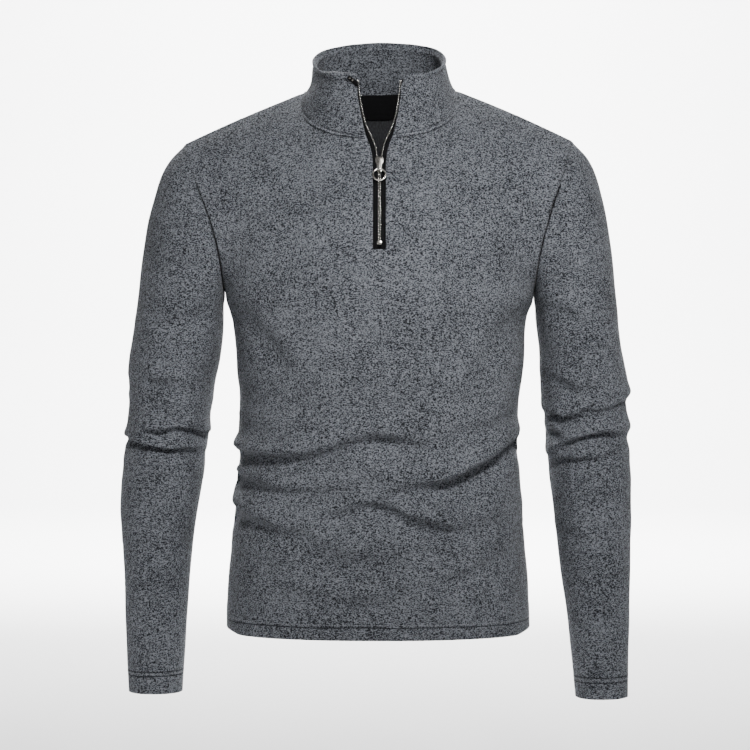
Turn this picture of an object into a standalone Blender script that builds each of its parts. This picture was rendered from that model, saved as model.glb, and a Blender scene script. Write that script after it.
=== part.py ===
"""Quarter-zip stand-collar sweatshirt, filled out as when it is worn.

Metres, +Z up. The wearer faces -Y and the wearer's left is +X. The origin lies
between the two points where the shoulder line meets the collar.

Each cloth piece is a grid of points on the outer face. Its wall is that grid and
the same grid moved in by the cloth's thickness. Pieces that are sewn together
share their seam points and seam normals, so a seam is an even narrow gap.
"""

import math
from collections import namedtuple

import bmesh
import bpy
import numpy as np
from mathutils import Matrix, Vector

# Cloth
CLOTH = 0.0022          # jersey with a fleece back
TURNED = 0.0034         # where hem and cuffs are turned up
COLLAR_CLOTH = 0.0046   # double cloth of the collar
COLLAR_END = 0.0030     # the collar's wall beside the zip
COLLAR_PROUD = 0.0008   # the collar stands out this far at its seam
COLLAR_LIFT = 0.0003    # its lower edge lies this far above the seam's line
COLLAR_SHARES = (0.0, 0.025, 0.18, 0.40, 0.62, 0.82, 0.95, 1.0)  # its rows, up to the rim
COLLAR_FLARE = 1.6      # how quickly it leaves the shoulders' slope
RIM_NARROWING = 0.45    # the rim's top edge is this much narrower than the wall
SEAM_GAP = 0.0003
HEM_DEPTH = 0.018
CUFF_DEPTH = 0.022
ROUNDNESS = 2.4         # superellipse exponent of the body's sections
SLEEVE_ROUNDNESS = 2.1

# Columns and rows of the grids
NECK_COLUMNS = 6        # front, from the slit to the neck point
SHOULDER_COLUMNS = 6
BACK_NECK_COLUMNS = 5   # from the neck point to the centre back
NECK_TURN = 68.0        # place of the neck point's column round the chest, in degrees from the side
YOKE_ROWS = 11          # from the chest line to the shoulder
SLIT_ROW = 3            # the yoke row at which the slit starts
CAP_ROWS = 9            # sleeve rows from the armhole to the upper arm

# The body below the chest line: half width, depth in front of and behind the side seam.
Body = namedtuple("Body", "z half_width front back")
BODY = (
    Body(-0.6335, 0.1765, 0.111, 0.106),
    Body(-0.584, 0.1765, 0.112, 0.106),
    Body(-0.527, 0.1715, 0.111, 0.102),
    Body(-0.471, 0.1655, 0.109, 0.096),
    Body(-0.404, 0.1635, 0.109, 0.091),
    Body(-0.339, 0.1660, 0.111, 0.094),
    Body(-0.301, 0.1690, 0.113, 0.099),
    Body(-0.272, 0.1725, 0.1145, 0.103),
    Body(-0.252, 0.1775, 0.115, 0.105),
    Body(-0.236, 0.1820, 0.1155, 0.107),
)
BODY_ROWS = (
    -0.6335, -0.6155, -0.597, -0.575, -0.557, -0.545, -0.533, -0.521, -0.509, -0.497, -0.485,
    -0.473, -0.461, -0.449, -0.437, -0.425, -0.413, -0.398, -0.376, -0.350, -0.322, -0.296,
    -0.272, -0.252, -0.236,
)

# Seam lines of the wearer's left half; the right half mirrors them.
Point = namedtuple("Point", "x y z")
NECKLINE_FRONT = (
    Point(0.0000, -0.0720, -0.0540),
    Point(0.0300, -0.0705, -0.0535),
    Point(0.0540, -0.0630, -0.0490),
    Point(0.0740, -0.0480, -0.0400),
    Point(0.0880, -0.0250, -0.0265),
    Point(0.0925, -0.0040, -0.0100),
    Point(0.0910, 0.0150, 0.0020),
)
NECKLINE_BACK = (
    Point(0.0910, 0.0150, 0.0020),
    Point(0.0780, 0.0410, 0.0020),
    Point(0.0450, 0.0650, 0.0010),
    Point(0.0000, 0.0740, 0.0000),
)
COLLAR_RIM = (
    Point(0.0000, -0.0690, 0.0140),
    Point(0.0300, -0.0670, 0.0140),
    Point(0.0550, -0.0570, 0.0160),
    Point(0.0710, -0.0380, 0.0235),
    Point(0.0775, -0.0120, 0.0350),
    Point(0.0765, 0.0120, 0.0440),
    Point(0.0660, 0.0380, 0.0540),
    Point(0.0420, 0.0560, 0.0605),
    Point(0.0000, 0.0620, 0.0640),
)
SHOULDER_POINT = Point(0.2255, 0.0000, -0.0590)
SHOULDER_RISE = 0.0025  # how far the shoulder seam bows up halfway
ARMHOLE_FRONT = (
    Point(0.1820, 0.0000, -0.2360),
    Point(0.1815, -0.0280, -0.2290),
    Point(0.1835, -0.0470, -0.2070),
    Point(0.1900, -0.0560, -0.1740),
    Point(0.2005, -0.0530, -0.1370),
    Point(0.2120, -0.0410, -0.1030),
    Point(0.2210, -0.0220, -0.0740),
    SHOULDER_POINT,
)
ARMHOLE_BACK = (
    Point(0.1820, 0.0000, -0.2360),
    Point(0.1820, 0.0300, -0.2290),
    Point(0.1855, 0.0530, -0.2050),
    Point(0.1930, 0.0620, -0.1700),
    Point(0.2040, 0.0580, -0.1300),
    Point(0.2150, 0.0450, -0.0930),
    Point(0.2225, 0.0240, -0.0680),
    SHOULDER_POINT,
)

# How a yoke column leaves the chest line and arrives at the neck or shoulder seam.
Flow = namedtuple("Flow", "column leave_y leave_z arrive_y arrive_z")
FRONT_FLOW = (
    Flow(0.0, 0.000, 0.185, 0.085, 0.150),
    Flow(6.0, 0.000, 0.235, 0.170, 0.110),
    Flow(9.0, 0.000, 0.220, 0.200, 0.040),
    Flow(10.6, -0.060, 0.170, 0.200, 0.030),
    Flow(12.0, -0.210, 0.020, 0.200, 0.030),
)
BACK_FLOW = (
    Flow(0.0, 0.220, 0.020, -0.200, 0.020),
    Flow(1.4, 0.080, 0.170, -0.200, 0.030),
    Flow(3.0, 0.030, 0.220, -0.200, 0.040),
    Flow(6.0, 0.020, 0.240, -0.190, 0.080),
    Flow(11.0, 0.020, 0.240, -0.100, 0.200),
)
BLEND_COLUMNS = 6       # columns over which the armhole's line pulls the yoke
EASE_ROUNDS = 8
EASE_ACROSS = 0.22
EASE_ALONG = 0.08

# Sleeves below the upper arm: the seen outer and inner edges, the middle's place front
# to back, and the half depth. The wearer's right sleeve hangs a little shorter.
Sleeve = namedtuple("Sleeve", "z outer inner middle half_depth")
SLEEVE_LEFT = (
    Sleeve(-0.250, 0.2800, 0.1830, 0.004, 0.0630),
    Sleeve(-0.300, 0.2840, 0.1880, 0.006, 0.0620),
    Sleeve(-0.348, 0.2905, 0.1900, 0.008, 0.0590),
    Sleeve(-0.400, 0.2930, 0.1960, 0.008, 0.0560),
    Sleeve(-0.452, 0.2955, 0.1998, 0.003, 0.0530),
    Sleeve(-0.505, 0.2945, 0.2070, -0.004, 0.0480),
    Sleeve(-0.560, 0.2940, 0.2125, -0.011, 0.0430),
    Sleeve(-0.620, 0.2925, 0.2215, -0.018, 0.0380),
    Sleeve(-0.678, 0.2905, 0.2275, -0.024, 0.0345),
    Sleeve(-0.709, 0.2905, 0.2300, -0.027, 0.0335),
)
SLEEVE_RIGHT = (
    Sleeve(-0.250, 0.2850, 0.1830, 0.004, 0.0630),
    Sleeve(-0.300, 0.2920, 0.1855, 0.006, 0.0620),
    Sleeve(-0.348, 0.2950, 0.1950, 0.008, 0.0590),
    Sleeve(-0.400, 0.2960, 0.2010, 0.008, 0.0560),
    Sleeve(-0.452, 0.3025, 0.2075, 0.003, 0.0530),
    Sleeve(-0.505, 0.3030, 0.2165, -0.004, 0.0480),
    Sleeve(-0.560, 0.2990, 0.2215, -0.011, 0.0430),
    Sleeve(-0.620, 0.2965, 0.2260, -0.018, 0.0380),
    Sleeve(-0.675, 0.2940, 0.2285, -0.024, 0.0345),
    Sleeve(-0.7025, 0.2925, 0.2305, -0.027, 0.0335),
)
UPPER_ARM = -0.300
# Rows below the upper arm, as shares of the way to the cuff's edge.
SLEEVE_SHARES = (
    0.040, 0.075, 0.105, 0.135, 0.165, 0.195, 0.225, 0.255, 0.285, 0.315, 0.345, 0.375, 0.41,
    0.46, 0.52, 0.58, 0.65, 0.72, 0.79, 0.86, 0.945, 1.0,
)
CAP_LEAVE = 0.70        # how strongly the sleeve head leaves the armhole
CAP_ARRIVE = 1.0
CAP_SPLAY = 0.15        # how much it still spreads where it reaches the upper arm
# The wearer's left shoulder stands a little higher: the rise at TILT_AT from the middle.
TILT = 0.0018
TILT_AT = 0.11
TILT_FROM = -0.200      # none below this height, all of it from TILT_TO up
TILT_TO = -0.080

# Folds. Each is a trough with a softer ridge above it, along a curve through its start,
# its middle and its end as seen from in front (side "front") or behind ("back").
Fold = namedtuple("Fold", "side x0 z0 x1 z1 x2 z2 depth width")
FOLDS = (
    Fold("front", -0.172, -0.424, -0.075, -0.440, 0.040, -0.405, 0.0075, 0.0095),
    Fold("front", -0.172, -0.450, -0.085, -0.484, -0.012, -0.458, 0.0055, 0.0090),
    Fold("front", 0.000, -0.472, 0.080, -0.466, 0.162, -0.412, 0.0085, 0.0105),
    Fold("front", -0.062, -0.500, -0.004, -0.482, 0.130, -0.522, 0.0060, 0.0110),
    Fold("front", -0.175, -0.500, -0.110, -0.522, -0.040, -0.540, 0.0065, 0.0105),
    Fold("front", 0.060, -0.560, 0.110, -0.553, 0.168, -0.520, 0.0040, 0.0120),
    Fold("front", -0.085, -0.600, -0.020, -0.607, 0.060, -0.600, 0.0020, 0.0130),
    Fold("back", -0.168, -0.428, -0.070, -0.452, 0.030, -0.440, 0.0075, 0.0105),
    Fold("back", 0.168, -0.420, 0.085, -0.462, -0.010, -0.476, 0.0080, 0.0105),
    Fold("back", -0.170, -0.486, -0.080, -0.505, 0.020, -0.502, 0.0060, 0.0105),
    Fold("back", 0.170, -0.500, 0.100, -0.528, 0.010, -0.536, 0.0055, 0.0110),
    Fold("back", -0.172, -0.545, -0.110, -0.560, -0.040, -0.562, 0.0040, 0.0120),
    Fold("back", -0.150, -0.215, -0.090, -0.260, -0.030, -0.285, 0.0035, 0.0160),
    Fold("back", 0.150, -0.215, 0.090, -0.260, 0.030, -0.285, 0.0035, 0.0160),
    Fold("front", -0.160, -0.240, -0.100, -0.290, -0.050, -0.330, 0.0030, 0.0180),
    Fold("front", 0.160, -0.240, 0.105, -0.285, 0.060, -0.320, 0.0030, 0.0180),
)
SLEEVE_FOLDS_LEFT = (
    Fold("front", 0.196, -0.384, 0.240, -0.388, 0.298, -0.366, 0.0060, 0.0080),
    Fold("front", 0.222, -0.424, 0.256, -0.408, 0.298, -0.403, 0.0065, 0.0075),
    Fold("front", 0.196, -0.446, 0.240, -0.434, 0.296, -0.436, 0.0060, 0.0080),
    Fold("front", 0.205, -0.345, 0.245, -0.352, 0.288, -0.340, 0.0030, 0.0100),
    Fold("back", 0.198, -0.372, 0.245, -0.384, 0.292, -0.376, 0.0045, 0.0085),
    Fold("back", 0.205, -0.418, 0.250, -0.412, 0.296, -0.420, 0.0050, 0.0085),
    Fold("back", 0.210, -0.470, 0.250, -0.462, 0.290, -0.470, 0.0030, 0.0100),
)
SLEEVE_FOLDS_RIGHT = (
    Fold("front", -0.283, -0.333, -0.258, -0.344, -0.236, -0.348, 0.0055, 0.0080),
    Fold("front", -0.276, -0.401, -0.240, -0.400, -0.204, -0.411, 0.0060, 0.0075),
    Fold("front", -0.302, -0.418, -0.258, -0.419, -0.220, -0.430, 0.0065, 0.0080),
    Fold("front", -0.290, -0.292, -0.270, -0.300, -0.245, -0.302, 0.0030, 0.0090),
    Fold("front", -0.296, -0.460, -0.260, -0.466, -0.225, -0.478, 0.0030, 0.0100),
    Fold("back", -0.292, -0.370, -0.250, -0.380, -0.204, -0.372, 0.0045, 0.0085),
    Fold("back", -0.298, -0.410, -0.255, -0.418, -0.212, -0.412, 0.0050, 0.0085),
    Fold("back", -0.296, -0.462, -0.255, -0.470, -0.222, -0.464, 0.0030, 0.0100),
)
FOLD_RIDGE = 0.45       # height of the ridge against the trough's depth
FOLD_RIDGE_UP = 1.7     # its distance above the trough, in trough widths
FOLD_SAMPLES = 24
SIDE_FADE = 0.045       # a fold of one side fades over this depth past the side seam

# Zip: half distance of the teeth and of the cloth's edges from the centre line.
Zip = namedtuple("Zip", "z teeth cloth")
ZIP = (
    Zip(-0.230, 0.00125, 0.0074),
    Zip(-0.094, 0.00125, 0.0074),
    Zip(-0.088, 0.0017, 0.0074),
    Zip(-0.079, 0.0030, 0.0078),
    Zip(-0.066, 0.0050, 0.0107),
    Zip(-0.054, 0.0105, 0.0160),
    Zip(-0.042, 0.0160, 0.0192),
    Zip(-0.033, 0.0190, 0.0215),
    Zip(-0.020, 0.0216, 0.0238),
    Zip(0.000, 0.0244, 0.0260),
    Zip(0.014, 0.0256, 0.0273),
)
OPENING_SPREAD = 0.055  # over this width the cloth beside the slit gives way
TAPE_WIDTH = 0.0135
TAPE = 0.0010
TAPE_GAP = 0.0006       # the tape lies this far behind the cloth
TEETH_WIDTH = 0.0022
TEETH_DEPTH = 0.0024
TAPE_BELOW_SLIT = 0.55  # the tape's end below the slit, in rows
TEETH_BOTTOM = -0.1760
TEETH_TOP = 0.0038
STOP_HEIGHT = 0.0035
STOP_PROUD = 0.0003
BOTTOM_STOP_WIDTH = 0.0060
BOTTOM_STOP_HEIGHT = 0.0045
BOTTOM_STOP_DEPTH = 0.0016

SLIDER_TOP = -0.0790
SLIDER_LENGTH = 0.0190
SLIDER_WIDTH = 0.0096
SLIDER_NECK = 0.0060    # width at its lower end
SLIDER_PLATE = 0.0011
SLIDER_POST = 0.0016    # the wedge that parts the teeth
SLIDER_POST_LENGTH = 0.0035
CHANNEL_CLEARANCE = 0.0005
BRIDGE_WIDTH = 0.0030
BRIDGE_STOCK = 0.0010
RING_RADIUS = 0.0072
RING_WIRE = 0.0010
RING_CLEARANCE = 0.0006
RING_BELOW_TOP = 0.0162  # the ring's wire crosses the slider this far below its top

# The black band inside the back neck
BAND = 0.0012
BAND_GAP = 0.0007
BAND_COLUMNS = 4        # to each side of the centre back
BAND_ROWS = (1.55, 1.0, 0.0)  # its rows, counted down from the neckline

# The walls of two pieces that meet are cut into triangles alike, in this order.
RIM_ORDER = np.array([1.0, 0.11, 0.37])
# Edges that are sewn, each with the line of points beside it
EVERY = slice(None)
PANEL_SEAMS = (
    ((EVERY, 0), (EVERY, 1)),
    ((EVERY, -1), (EVERY, -2)),
    ((-1, EVERY), (-2, EVERY)),
)
SLEEVE_SEAM = (((0, EVERY), (1, EVERY)),)
COLLAR_SEAM = (((0, EVERY), (1, EVERY)),)

Paint = namedtuple("Paint", "name colour roughness metallic")
HEATHER = Paint("heather_knit", (0.130, 0.135, 0.155), 0.95, 0.0)
BLACK_TAPE = Paint("black_tape", (0.012, 0.012, 0.014), 0.85, 0.0)
NICKEL = Paint("nickel", (0.72, 0.70, 0.66), 0.28, 1.0)


def clear_scene():
    for obj in list(bpy.data.objects):
        bpy.data.objects.remove(obj, do_unlink=True)


def material(paint):
    """The paint's material, made once."""
    made = bpy.data.materials.get(paint.name)
    if made:
        return made
    made = bpy.data.materials.new(paint.name)
    made.use_nodes = True
    shader = made.node_tree.nodes["Principled BSDF"]
    shader.inputs["Base Color"].default_value = (*paint.colour, 1.0)
    shader.inputs["Roughness"].default_value = paint.roughness
    shader.inputs["Metallic"].default_value = paint.metallic
    return made


def through(stations, values, at, slopes=None):
    """A smooth curve through a table's values, read at the stations given."""
    stations = np.asarray(stations, float)
    values = np.asarray(values, float)
    at = np.asarray(at, float)
    if slopes is None:
        slopes = np.gradient(values, stations, axis=0)
    i = np.clip(np.searchsorted(stations, at, side="right") - 1, 0, len(stations) - 2)
    span = stations[i + 1] - stations[i]
    t = (at - stations[i]) / span
    if values.ndim > 1:
        t = t[..., None]
        span = span[..., None]
    return hermite(t, values[i], slopes[i] * span, values[i + 1], slopes[i + 1] * span)


def hermite(t, start, leave, end, arrive):
    return (
        (2 * t**3 - 3 * t**2 + 1) * start
        + (t**3 - 2 * t**2 + t) * leave
        + (3 * t**2 - 2 * t**3) * end
        + (t**3 - t**2) * arrive
    )


def column_of(table, field, at):
    """One column of a table against its first column, read at the stations given."""
    rows = sorted(table)
    at = np.clip(at, rows[0][0], rows[-1][0])
    stations = np.array([row[0] for row in rows], float)
    values = np.array([getattr(row, field) for row in rows], float)
    return through(stations, values, at, steady_slopes(stations, values))


def steady_slopes(stations, values):
    """Slopes that keep a curve between the values beside it."""
    steps = np.diff(values) / np.diff(stations)
    slopes = np.zeros_like(values)
    slopes[0] = steps[0]
    slopes[-1] = steps[-1]
    before, after = steps[:-1], steps[1:]
    rises = before * after > 0
    slopes[1:-1][rises] = 2 / (1 / before[rises] + 1 / after[rises])
    return slopes


def route(points):
    """A smooth line through points, as a function of the share of its length."""
    points = np.array(points, float)
    steps = np.linalg.norm(np.diff(points, axis=0), axis=1)
    share = np.concatenate([[0.0], np.cumsum(steps)]) / steps.sum()
    return lambda at: through(share, points, at)


def smoothstep(value):
    value = np.clip(value, 0.0, 1.0)
    return value * value * (3.0 - 2.0 * value)


def unit(vectors):
    return vectors / np.maximum(np.linalg.norm(vectors, axis=-1, keepdims=True), 1e-12)


def power(value, exponent):
    return np.sign(value) * np.abs(value) ** (2.0 / exponent)


def mirrored(grid):
    return grid * np.array([-1.0, 1.0, 1.0])


# ---------------------------------------------------------------- outer faces

def body_rows(turns, front):
    """Rows of the body below the chest line, at the turns given (0 at the side)."""
    z = np.array(BODY_ROWS)
    half_width = column_of(BODY, "half_width", z)[:, None]
    depth = column_of(BODY, "front" if front else "back", z)[:, None]
    x = half_width * power(np.cos(turns), ROUNDNESS)
    y = depth * power(np.sin(turns), ROUNDNESS)
    return np.stack([x, -y if front else y, np.broadcast_to(z[:, None], x.shape)], axis=-1)


def yoke_rows(chest, top, flow, armhole, armhole_first):
    """Rows from the chest line to the neck and shoulder seams."""
    columns = np.arange(len(chest), dtype=float)
    zero = np.zeros_like(columns)
    leave = np.stack(
        [zero, column_of(flow, "leave_y", columns), column_of(flow, "leave_z", columns)], -1
    )
    arrive = np.stack(
        [zero, column_of(flow, "arrive_y", columns), column_of(flow, "arrive_z", columns)], -1
    )
    share = np.linspace(0.0, 1.0, YOKE_ROWS + 1)
    rows = hermite(share[:, None, None], chest, leave, top, arrive)
    edge = 0 if armhole_first else len(chest) - 1
    pull = smoothstep(1.0 - np.abs(columns - edge) / BLEND_COLUMNS)
    rows += (route(armhole)(share) - rows[:, edge])[:, None] * pull[None, :, None]
    return eased(rows, armhole_first)[1:]


def eased(rows, centre_last):
    """The yoke's rows with creases between its columns evened out; its borders stay."""
    for _ in range(EASE_ROUNDS):
        if centre_last:
            beside = mirrored(rows[:, -2:-1])
            wide = np.concatenate([rows, beside], axis=1)
            inside = slice(1, None)
        else:
            beside = mirrored(rows[:, :1])
            wide = np.concatenate([beside, rows], axis=1)
            inside = slice(0, -1)
        across = (wide[1:-1, :-2] + wide[1:-1, 2:]) * EASE_ACROSS
        along = (wide[:-2, 1:-1] + wide[2:, 1:-1]) * EASE_ALONG
        rows[1:-1, inside] += across + along - rows[1:-1, inside] * 2 * (EASE_ACROSS + EASE_ALONG)
    return rows


def opened(grid):
    """The front half with its slit edge moved out where the zip is open."""
    z = grid[:, 0, 2]
    edge = column_of(ZIP, "cloth", z)
    away = np.maximum(grid[:, :, 0] - grid[:, :1, 0], 0.0)
    shift = (edge - grid[:, 0, 0])[:, None] * (1.0 - smoothstep(away / OPENING_SPREAD))
    moved = grid.copy()
    moved[:, :, 0] += shift
    return moved


def front_half():
    """The wearer's left half of the front, from the slit's edge to the side."""
    chest_width = BODY[-1].half_width
    first = math.acos((ZIP[0].cloth / chest_width) ** (ROUNDNESS / 2.0))
    neck = math.radians(NECK_TURN)
    turns = np.concatenate([
        np.linspace(first, neck, NECK_COLUMNS + 1),
        np.linspace(neck, 0.0, SHOULDER_COLUMNS + 1)[1:],
    ])
    body = body_rows(turns, front=True)
    line = route(NECKLINE_FRONT)
    seam_z = NECKLINE_FRONT[0].z
    start = float(column_of(ZIP, "cloth", [seam_z])[0]) / polyline_length(NECKLINE_FRONT)
    neck_seam = line(np.linspace(start, 1.0, NECK_COLUMNS + 1))
    top = np.concatenate([neck_seam, shoulder_seam()[1:]])
    yoke = yoke_rows(body[-1], top, FRONT_FLOW, ARMHOLE_FRONT, armhole_first=False)
    return opened(np.concatenate([body, yoke]))


def back_half():
    """The wearer's left half of the back, from the side to the centre back."""
    neck = math.radians(NECK_TURN)
    turns = np.concatenate([
        np.linspace(0.0, neck, SHOULDER_COLUMNS + 1),
        np.linspace(neck, math.pi / 2, BACK_NECK_COLUMNS + 1)[1:],
    ])
    body = body_rows(turns, front=False)
    neck_seam = route(NECKLINE_BACK)(np.linspace(0.0, 1.0, BACK_NECK_COLUMNS + 1))
    top = np.concatenate([shoulder_seam()[::-1], neck_seam[1:]])
    yoke = yoke_rows(body[-1], top, BACK_FLOW, ARMHOLE_BACK, armhole_first=True)
    return np.concatenate([body, yoke])


def shoulder_seam():
    share = np.linspace(0.0, 1.0, SHOULDER_COLUMNS + 1)[:, None]
    neck_point = np.array(NECKLINE_BACK[0])
    seam = neck_point + (np.array(SHOULDER_POINT) - neck_point) * share
    seam[:, 2:] += SHOULDER_RISE * np.sin(np.pi * share)
    return seam


def tilted(grid):
    """A grid with the shoulders' uneven height."""
    share = np.clip(grid[..., 0] / TILT_AT, -1.0, 1.0)
    share = share * smoothstep((grid[..., 2] - TILT_FROM) / (TILT_TO - TILT_FROM))
    moved = grid.copy()
    moved[..., 2] += TILT * share
    return moved


def polyline_length(points):
    return float(np.linalg.norm(np.diff(np.array(points), axis=0), axis=1).sum())


def sleeve_rings(table, z):
    """Rings of the sleeve at the heights given, from the underarm round the front."""
    stations = 2 * YOKE_ROWS
    turn = np.arange(stations) * math.pi / YOKE_ROWS
    outer = column_of(table, "outer", z)[:, None]
    inner = column_of(table, "inner", z)[:, None]
    middle = column_of(table, "middle", z)[:, None]
    depth = column_of(table, "half_depth", z)[:, None]
    x = (outer + inner) / 2 - (outer - inner) / 2 * power(np.cos(turn), SLEEVE_ROUNDNESS)
    y = middle - depth * power(np.sin(turn), SLEEVE_ROUNDNESS)
    return np.stack([x, y, np.broadcast_to(np.asarray(z)[:, None], x.shape)], axis=-1)


def sleeve_grid(table, hole):
    """A sleeve of the +X side, from the armhole down; columns run round from the underarm."""
    ring = sleeve_rings(table, np.array([UPPER_ARM]))[0]
    turn = np.arange(len(hole)) * math.pi / YOKE_ROWS
    up = -np.cos(turn)      # 1 at the shoulder, -1 at the underarm
    leave = unit(np.stack([
        0.80 + 0.40 * up - 0.30 * up**2,
        -0.30 * np.sin(turn),
        -0.50 + 0.29 * up - 0.21 * up**2,
    ], axis=-1))
    length = np.linalg.norm(ring - hole, axis=1)[:, None]
    rows = np.linspace(0.0, 1.0, CAP_ROWS + 1)[:, None, None]
    arrive = np.array([CAP_SPLAY, 0.0, -1.0]) * length * CAP_ARRIVE
    cap = hermite(rows, hole, leave * length * CAP_LEAVE, ring, arrive)
    end = min(row.z for row in table)
    lower = UPPER_ARM + (end - UPPER_ARM) * np.array(SLEEVE_SHARES)
    return np.concatenate([cap, sleeve_rings(table, lower)])


def collar_grid(seam):
    """The collar's outer face over its seam line, from the wearer's left end round the back."""
    middle = len(seam) // 2
    steps = np.linalg.norm(np.diff(seam[:middle + 1], axis=0), axis=1)
    share = np.concatenate([[0.0], np.cumsum(steps)]) / steps.sum()
    start = ZIP[-1].cloth / polyline_length(COLLAR_RIM)
    left = route(COLLAR_RIM)(start + (1.0 - start) * share)
    rim = tilted(np.concatenate([left, mirrored(left)[-2::-1]]))
    rise = np.array(COLLAR_SHARES)[:, None, None]
    closing = 1.0 - (1.0 - rise) ** COLLAR_FLARE
    flat = np.array([1.0, 1.0, 0.0])
    return seam + (rim - seam) * (closing * flat + rise * (1.0 - flat))


# ------------------------------------------------------------------- folding

def fold_line(fold):
    t = np.linspace(0.0, 1.0, FOLD_SAMPLES)
    bend_x = 2 * fold.x1 - (fold.x0 + fold.x2) / 2
    bend_z = 2 * fold.z1 - (fold.z0 + fold.z2) / 2
    x = (1 - t) ** 2 * fold.x0 + 2 * t * (1 - t) * bend_x + t**2 * fold.x2
    z = (1 - t) ** 2 * fold.z0 + 2 * t * (1 - t) * bend_z + t**2 * fold.z2
    return t, np.stack([x, z], axis=-1)


def fold_height(fold, points, middle):
    """How far one fold moves each point out (above 0) or in."""
    t, line = fold_line(fold)
    flat = points[..., [0, 2]]
    apart = flat[..., None, :] - line
    distance = np.linalg.norm(apart, axis=-1)
    nearest = distance.argmin(axis=-1)
    near = np.take_along_axis(distance, nearest[..., None], -1)[..., 0]
    above = np.take_along_axis(apart[..., 1], nearest[..., None], -1)[..., 0]
    fade = np.sin(np.pi * np.clip(0.08 + 0.84 * t[nearest], 0, 1)) ** 0.7
    signed = np.sign(above) * near / fold.width
    trough = -np.exp(-signed**2)
    ridge = FOLD_RIDGE * np.exp(-((signed - FOLD_RIDGE_UP) ** 2))
    towards = points[..., 1] - middle
    towards = -towards if fold.side == "front" else towards
    facing = smoothstep(0.5 + towards / SIDE_FADE)
    return fold.depth * (trough + ridge) * fade * facing


def folded(grid, normal, folds, middle=0.0):
    height = sum(fold_height(fold, grid, middle) for fold in folds)
    return grid + normal * height[..., None]


# --------------------------------------------------------------------- walls

def normals(grid, wraps, sign):
    """Outward unit normals of a grid."""
    if wraps:
        across = np.roll(grid, -1, axis=1) - np.roll(grid, 1, axis=1)
    else:
        across = np.gradient(grid, axis=1)
    along = np.gradient(grid, axis=0)
    return unit(np.cross(across, along)) * sign


class Piece:
    """A cloth piece: its outer grid, its normals and its wall."""

    def __init__(self, name, grid, wraps=False, sign=1.0, seams=()):
        self.name = name
        self.grid = grid
        self.wraps = wraps
        self.sign = sign
        self.seams = seams
        self.normal = normals(grid, wraps, sign)

    def update(self):
        self.normal = normals(self.grid, self.wraps, self.sign)

    def set_back(self, distance):
        """Moves the seam edges in."""
        moved = self.grid.copy()
        for edge, beside in self.seams:
            towards = self.grid[beside] - self.grid[edge]
            out = self.normal[edge]
            towards = towards - (towards * out).sum(-1, keepdims=True) * out
            line = unit(np.gradient(self.grid[edge], axis=0))
            towards = towards - (towards * line).sum(-1, keepdims=True) * line
            moved[edge] += unit(towards) * distance
        self.grid = moved

    def inner(self, thickness):
        return self.grid - self.normal * thickness


def share_normals(pieces):
    """Where pieces meet, they take the mean of their normals."""
    met = {}
    for piece in pieces:
        rows, columns = piece.grid.shape[:2]
        for row in range(rows):
            for column in range(columns):
                inside = 0 < row < rows - 1 and (piece.wraps or 0 < column < columns - 1)
                if not inside:
                    key = tuple(np.round(piece.grid[row, column] * 1e5).astype(int))
                    met.setdefault(key, []).append((piece, row, column))
    for places in met.values():
        if len(places) > 1:
            mean = unit(sum(piece.normal[row, column] for piece, row, column in places))
            for piece, row, column in places:
                piece.normal[row, column] = mean


def wall(name, outer, inner, paint, parent, wraps=False, left_open=None):
    """A closed wall between two grids; left_open tells the cells that have no cloth."""
    rows, columns = outer.shape[:2]
    size = rows * columns
    last = columns if wraps else columns - 1
    faces = []
    for row in range(rows - 1):
        for column in range(last):
            if left_open and left_open(row, column):
                continue
            beside = (column + 1) % columns
            faces.append((
                row * columns + column,
                row * columns + beside,
                (row + 1) * columns + beside,
                (row + 1) * columns + column,
            ))
    edges = {(a, b) for face in faces for a, b in zip(face, face[1:] + face[:1])}
    points = np.concatenate([outer.reshape(-1, 3), inner.reshape(-1, 3)])
    faces = [triangle for face in faces for triangle in halves(face, points)]
    under = [tuple(point + size for point in reversed(face)) for face in faces]
    rim = []
    for a, b in sorted(edges):
        if (b, a) not in edges:
            turned = points[a] @ RIM_ORDER > points[b] @ RIM_ORDER
            first, second = (b, a) if turned else (a, b)
            quad = [(first, second, first + size), (second, second + size, first + size)]
            rim += quad if turned else [triangle[::-1] for triangle in quad]
    return mesh_object(name, points, faces + under + rim, paint, parent)


def halves(face, points):
    """A four-sided face as two triangles, cut along its shorter diagonal."""
    a, b, c, d = face
    if np.linalg.norm(points[a] - points[c]) <= np.linalg.norm(points[b] - points[d]):
        return (a, b, c), (a, c, d)
    return (a, b, d), (b, c, d)


def mesh_object(name, points, faces, paint, parent):
    """An object from points and faces, with its faces turned outwards."""
    mesh = bpy.data.meshes.new(name)
    mesh.from_pydata([tuple(point) for point in points], [], faces)
    shape = bmesh.new()
    shape.from_mesh(mesh)
    loose = [vert for vert in shape.verts if not vert.link_faces]
    bmesh.ops.delete(shape, geom=loose, context="VERTS")
    if shape.calc_volume(signed=True) < 0:
        bmesh.ops.reverse_faces(shape, faces=shape.faces)
    shape.to_mesh(mesh)
    shape.free()
    mesh.shade_smooth()
    mesh.set_sharp_from_angle(angle=math.radians(50))
    mesh.materials.append(material(paint))
    obj = bpy.data.objects.new(name, mesh)
    parent.objects.link(obj)
    return obj


def turned_up(grid, edge_row, depth):
    """Wall thickness of a panel whose edge at edge_row is turned up."""
    from_edge = np.linalg.norm(grid - grid[edge_row], axis=-1)
    return np.where(from_edge < depth, TURNED, CLOTH)[..., None]


def armhole(front, back, wearers_left):
    """The armhole's loop of points, from the underarm round the front."""
    front_edge, back_edge = (-1, 0) if wearers_left else (0, -1)
    chest = len(BODY_ROWS) - 1
    return np.concatenate([
        front.grid[chest:, front_edge], back.grid[chest + 1:-1, back_edge][::-1],
    ])


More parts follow.
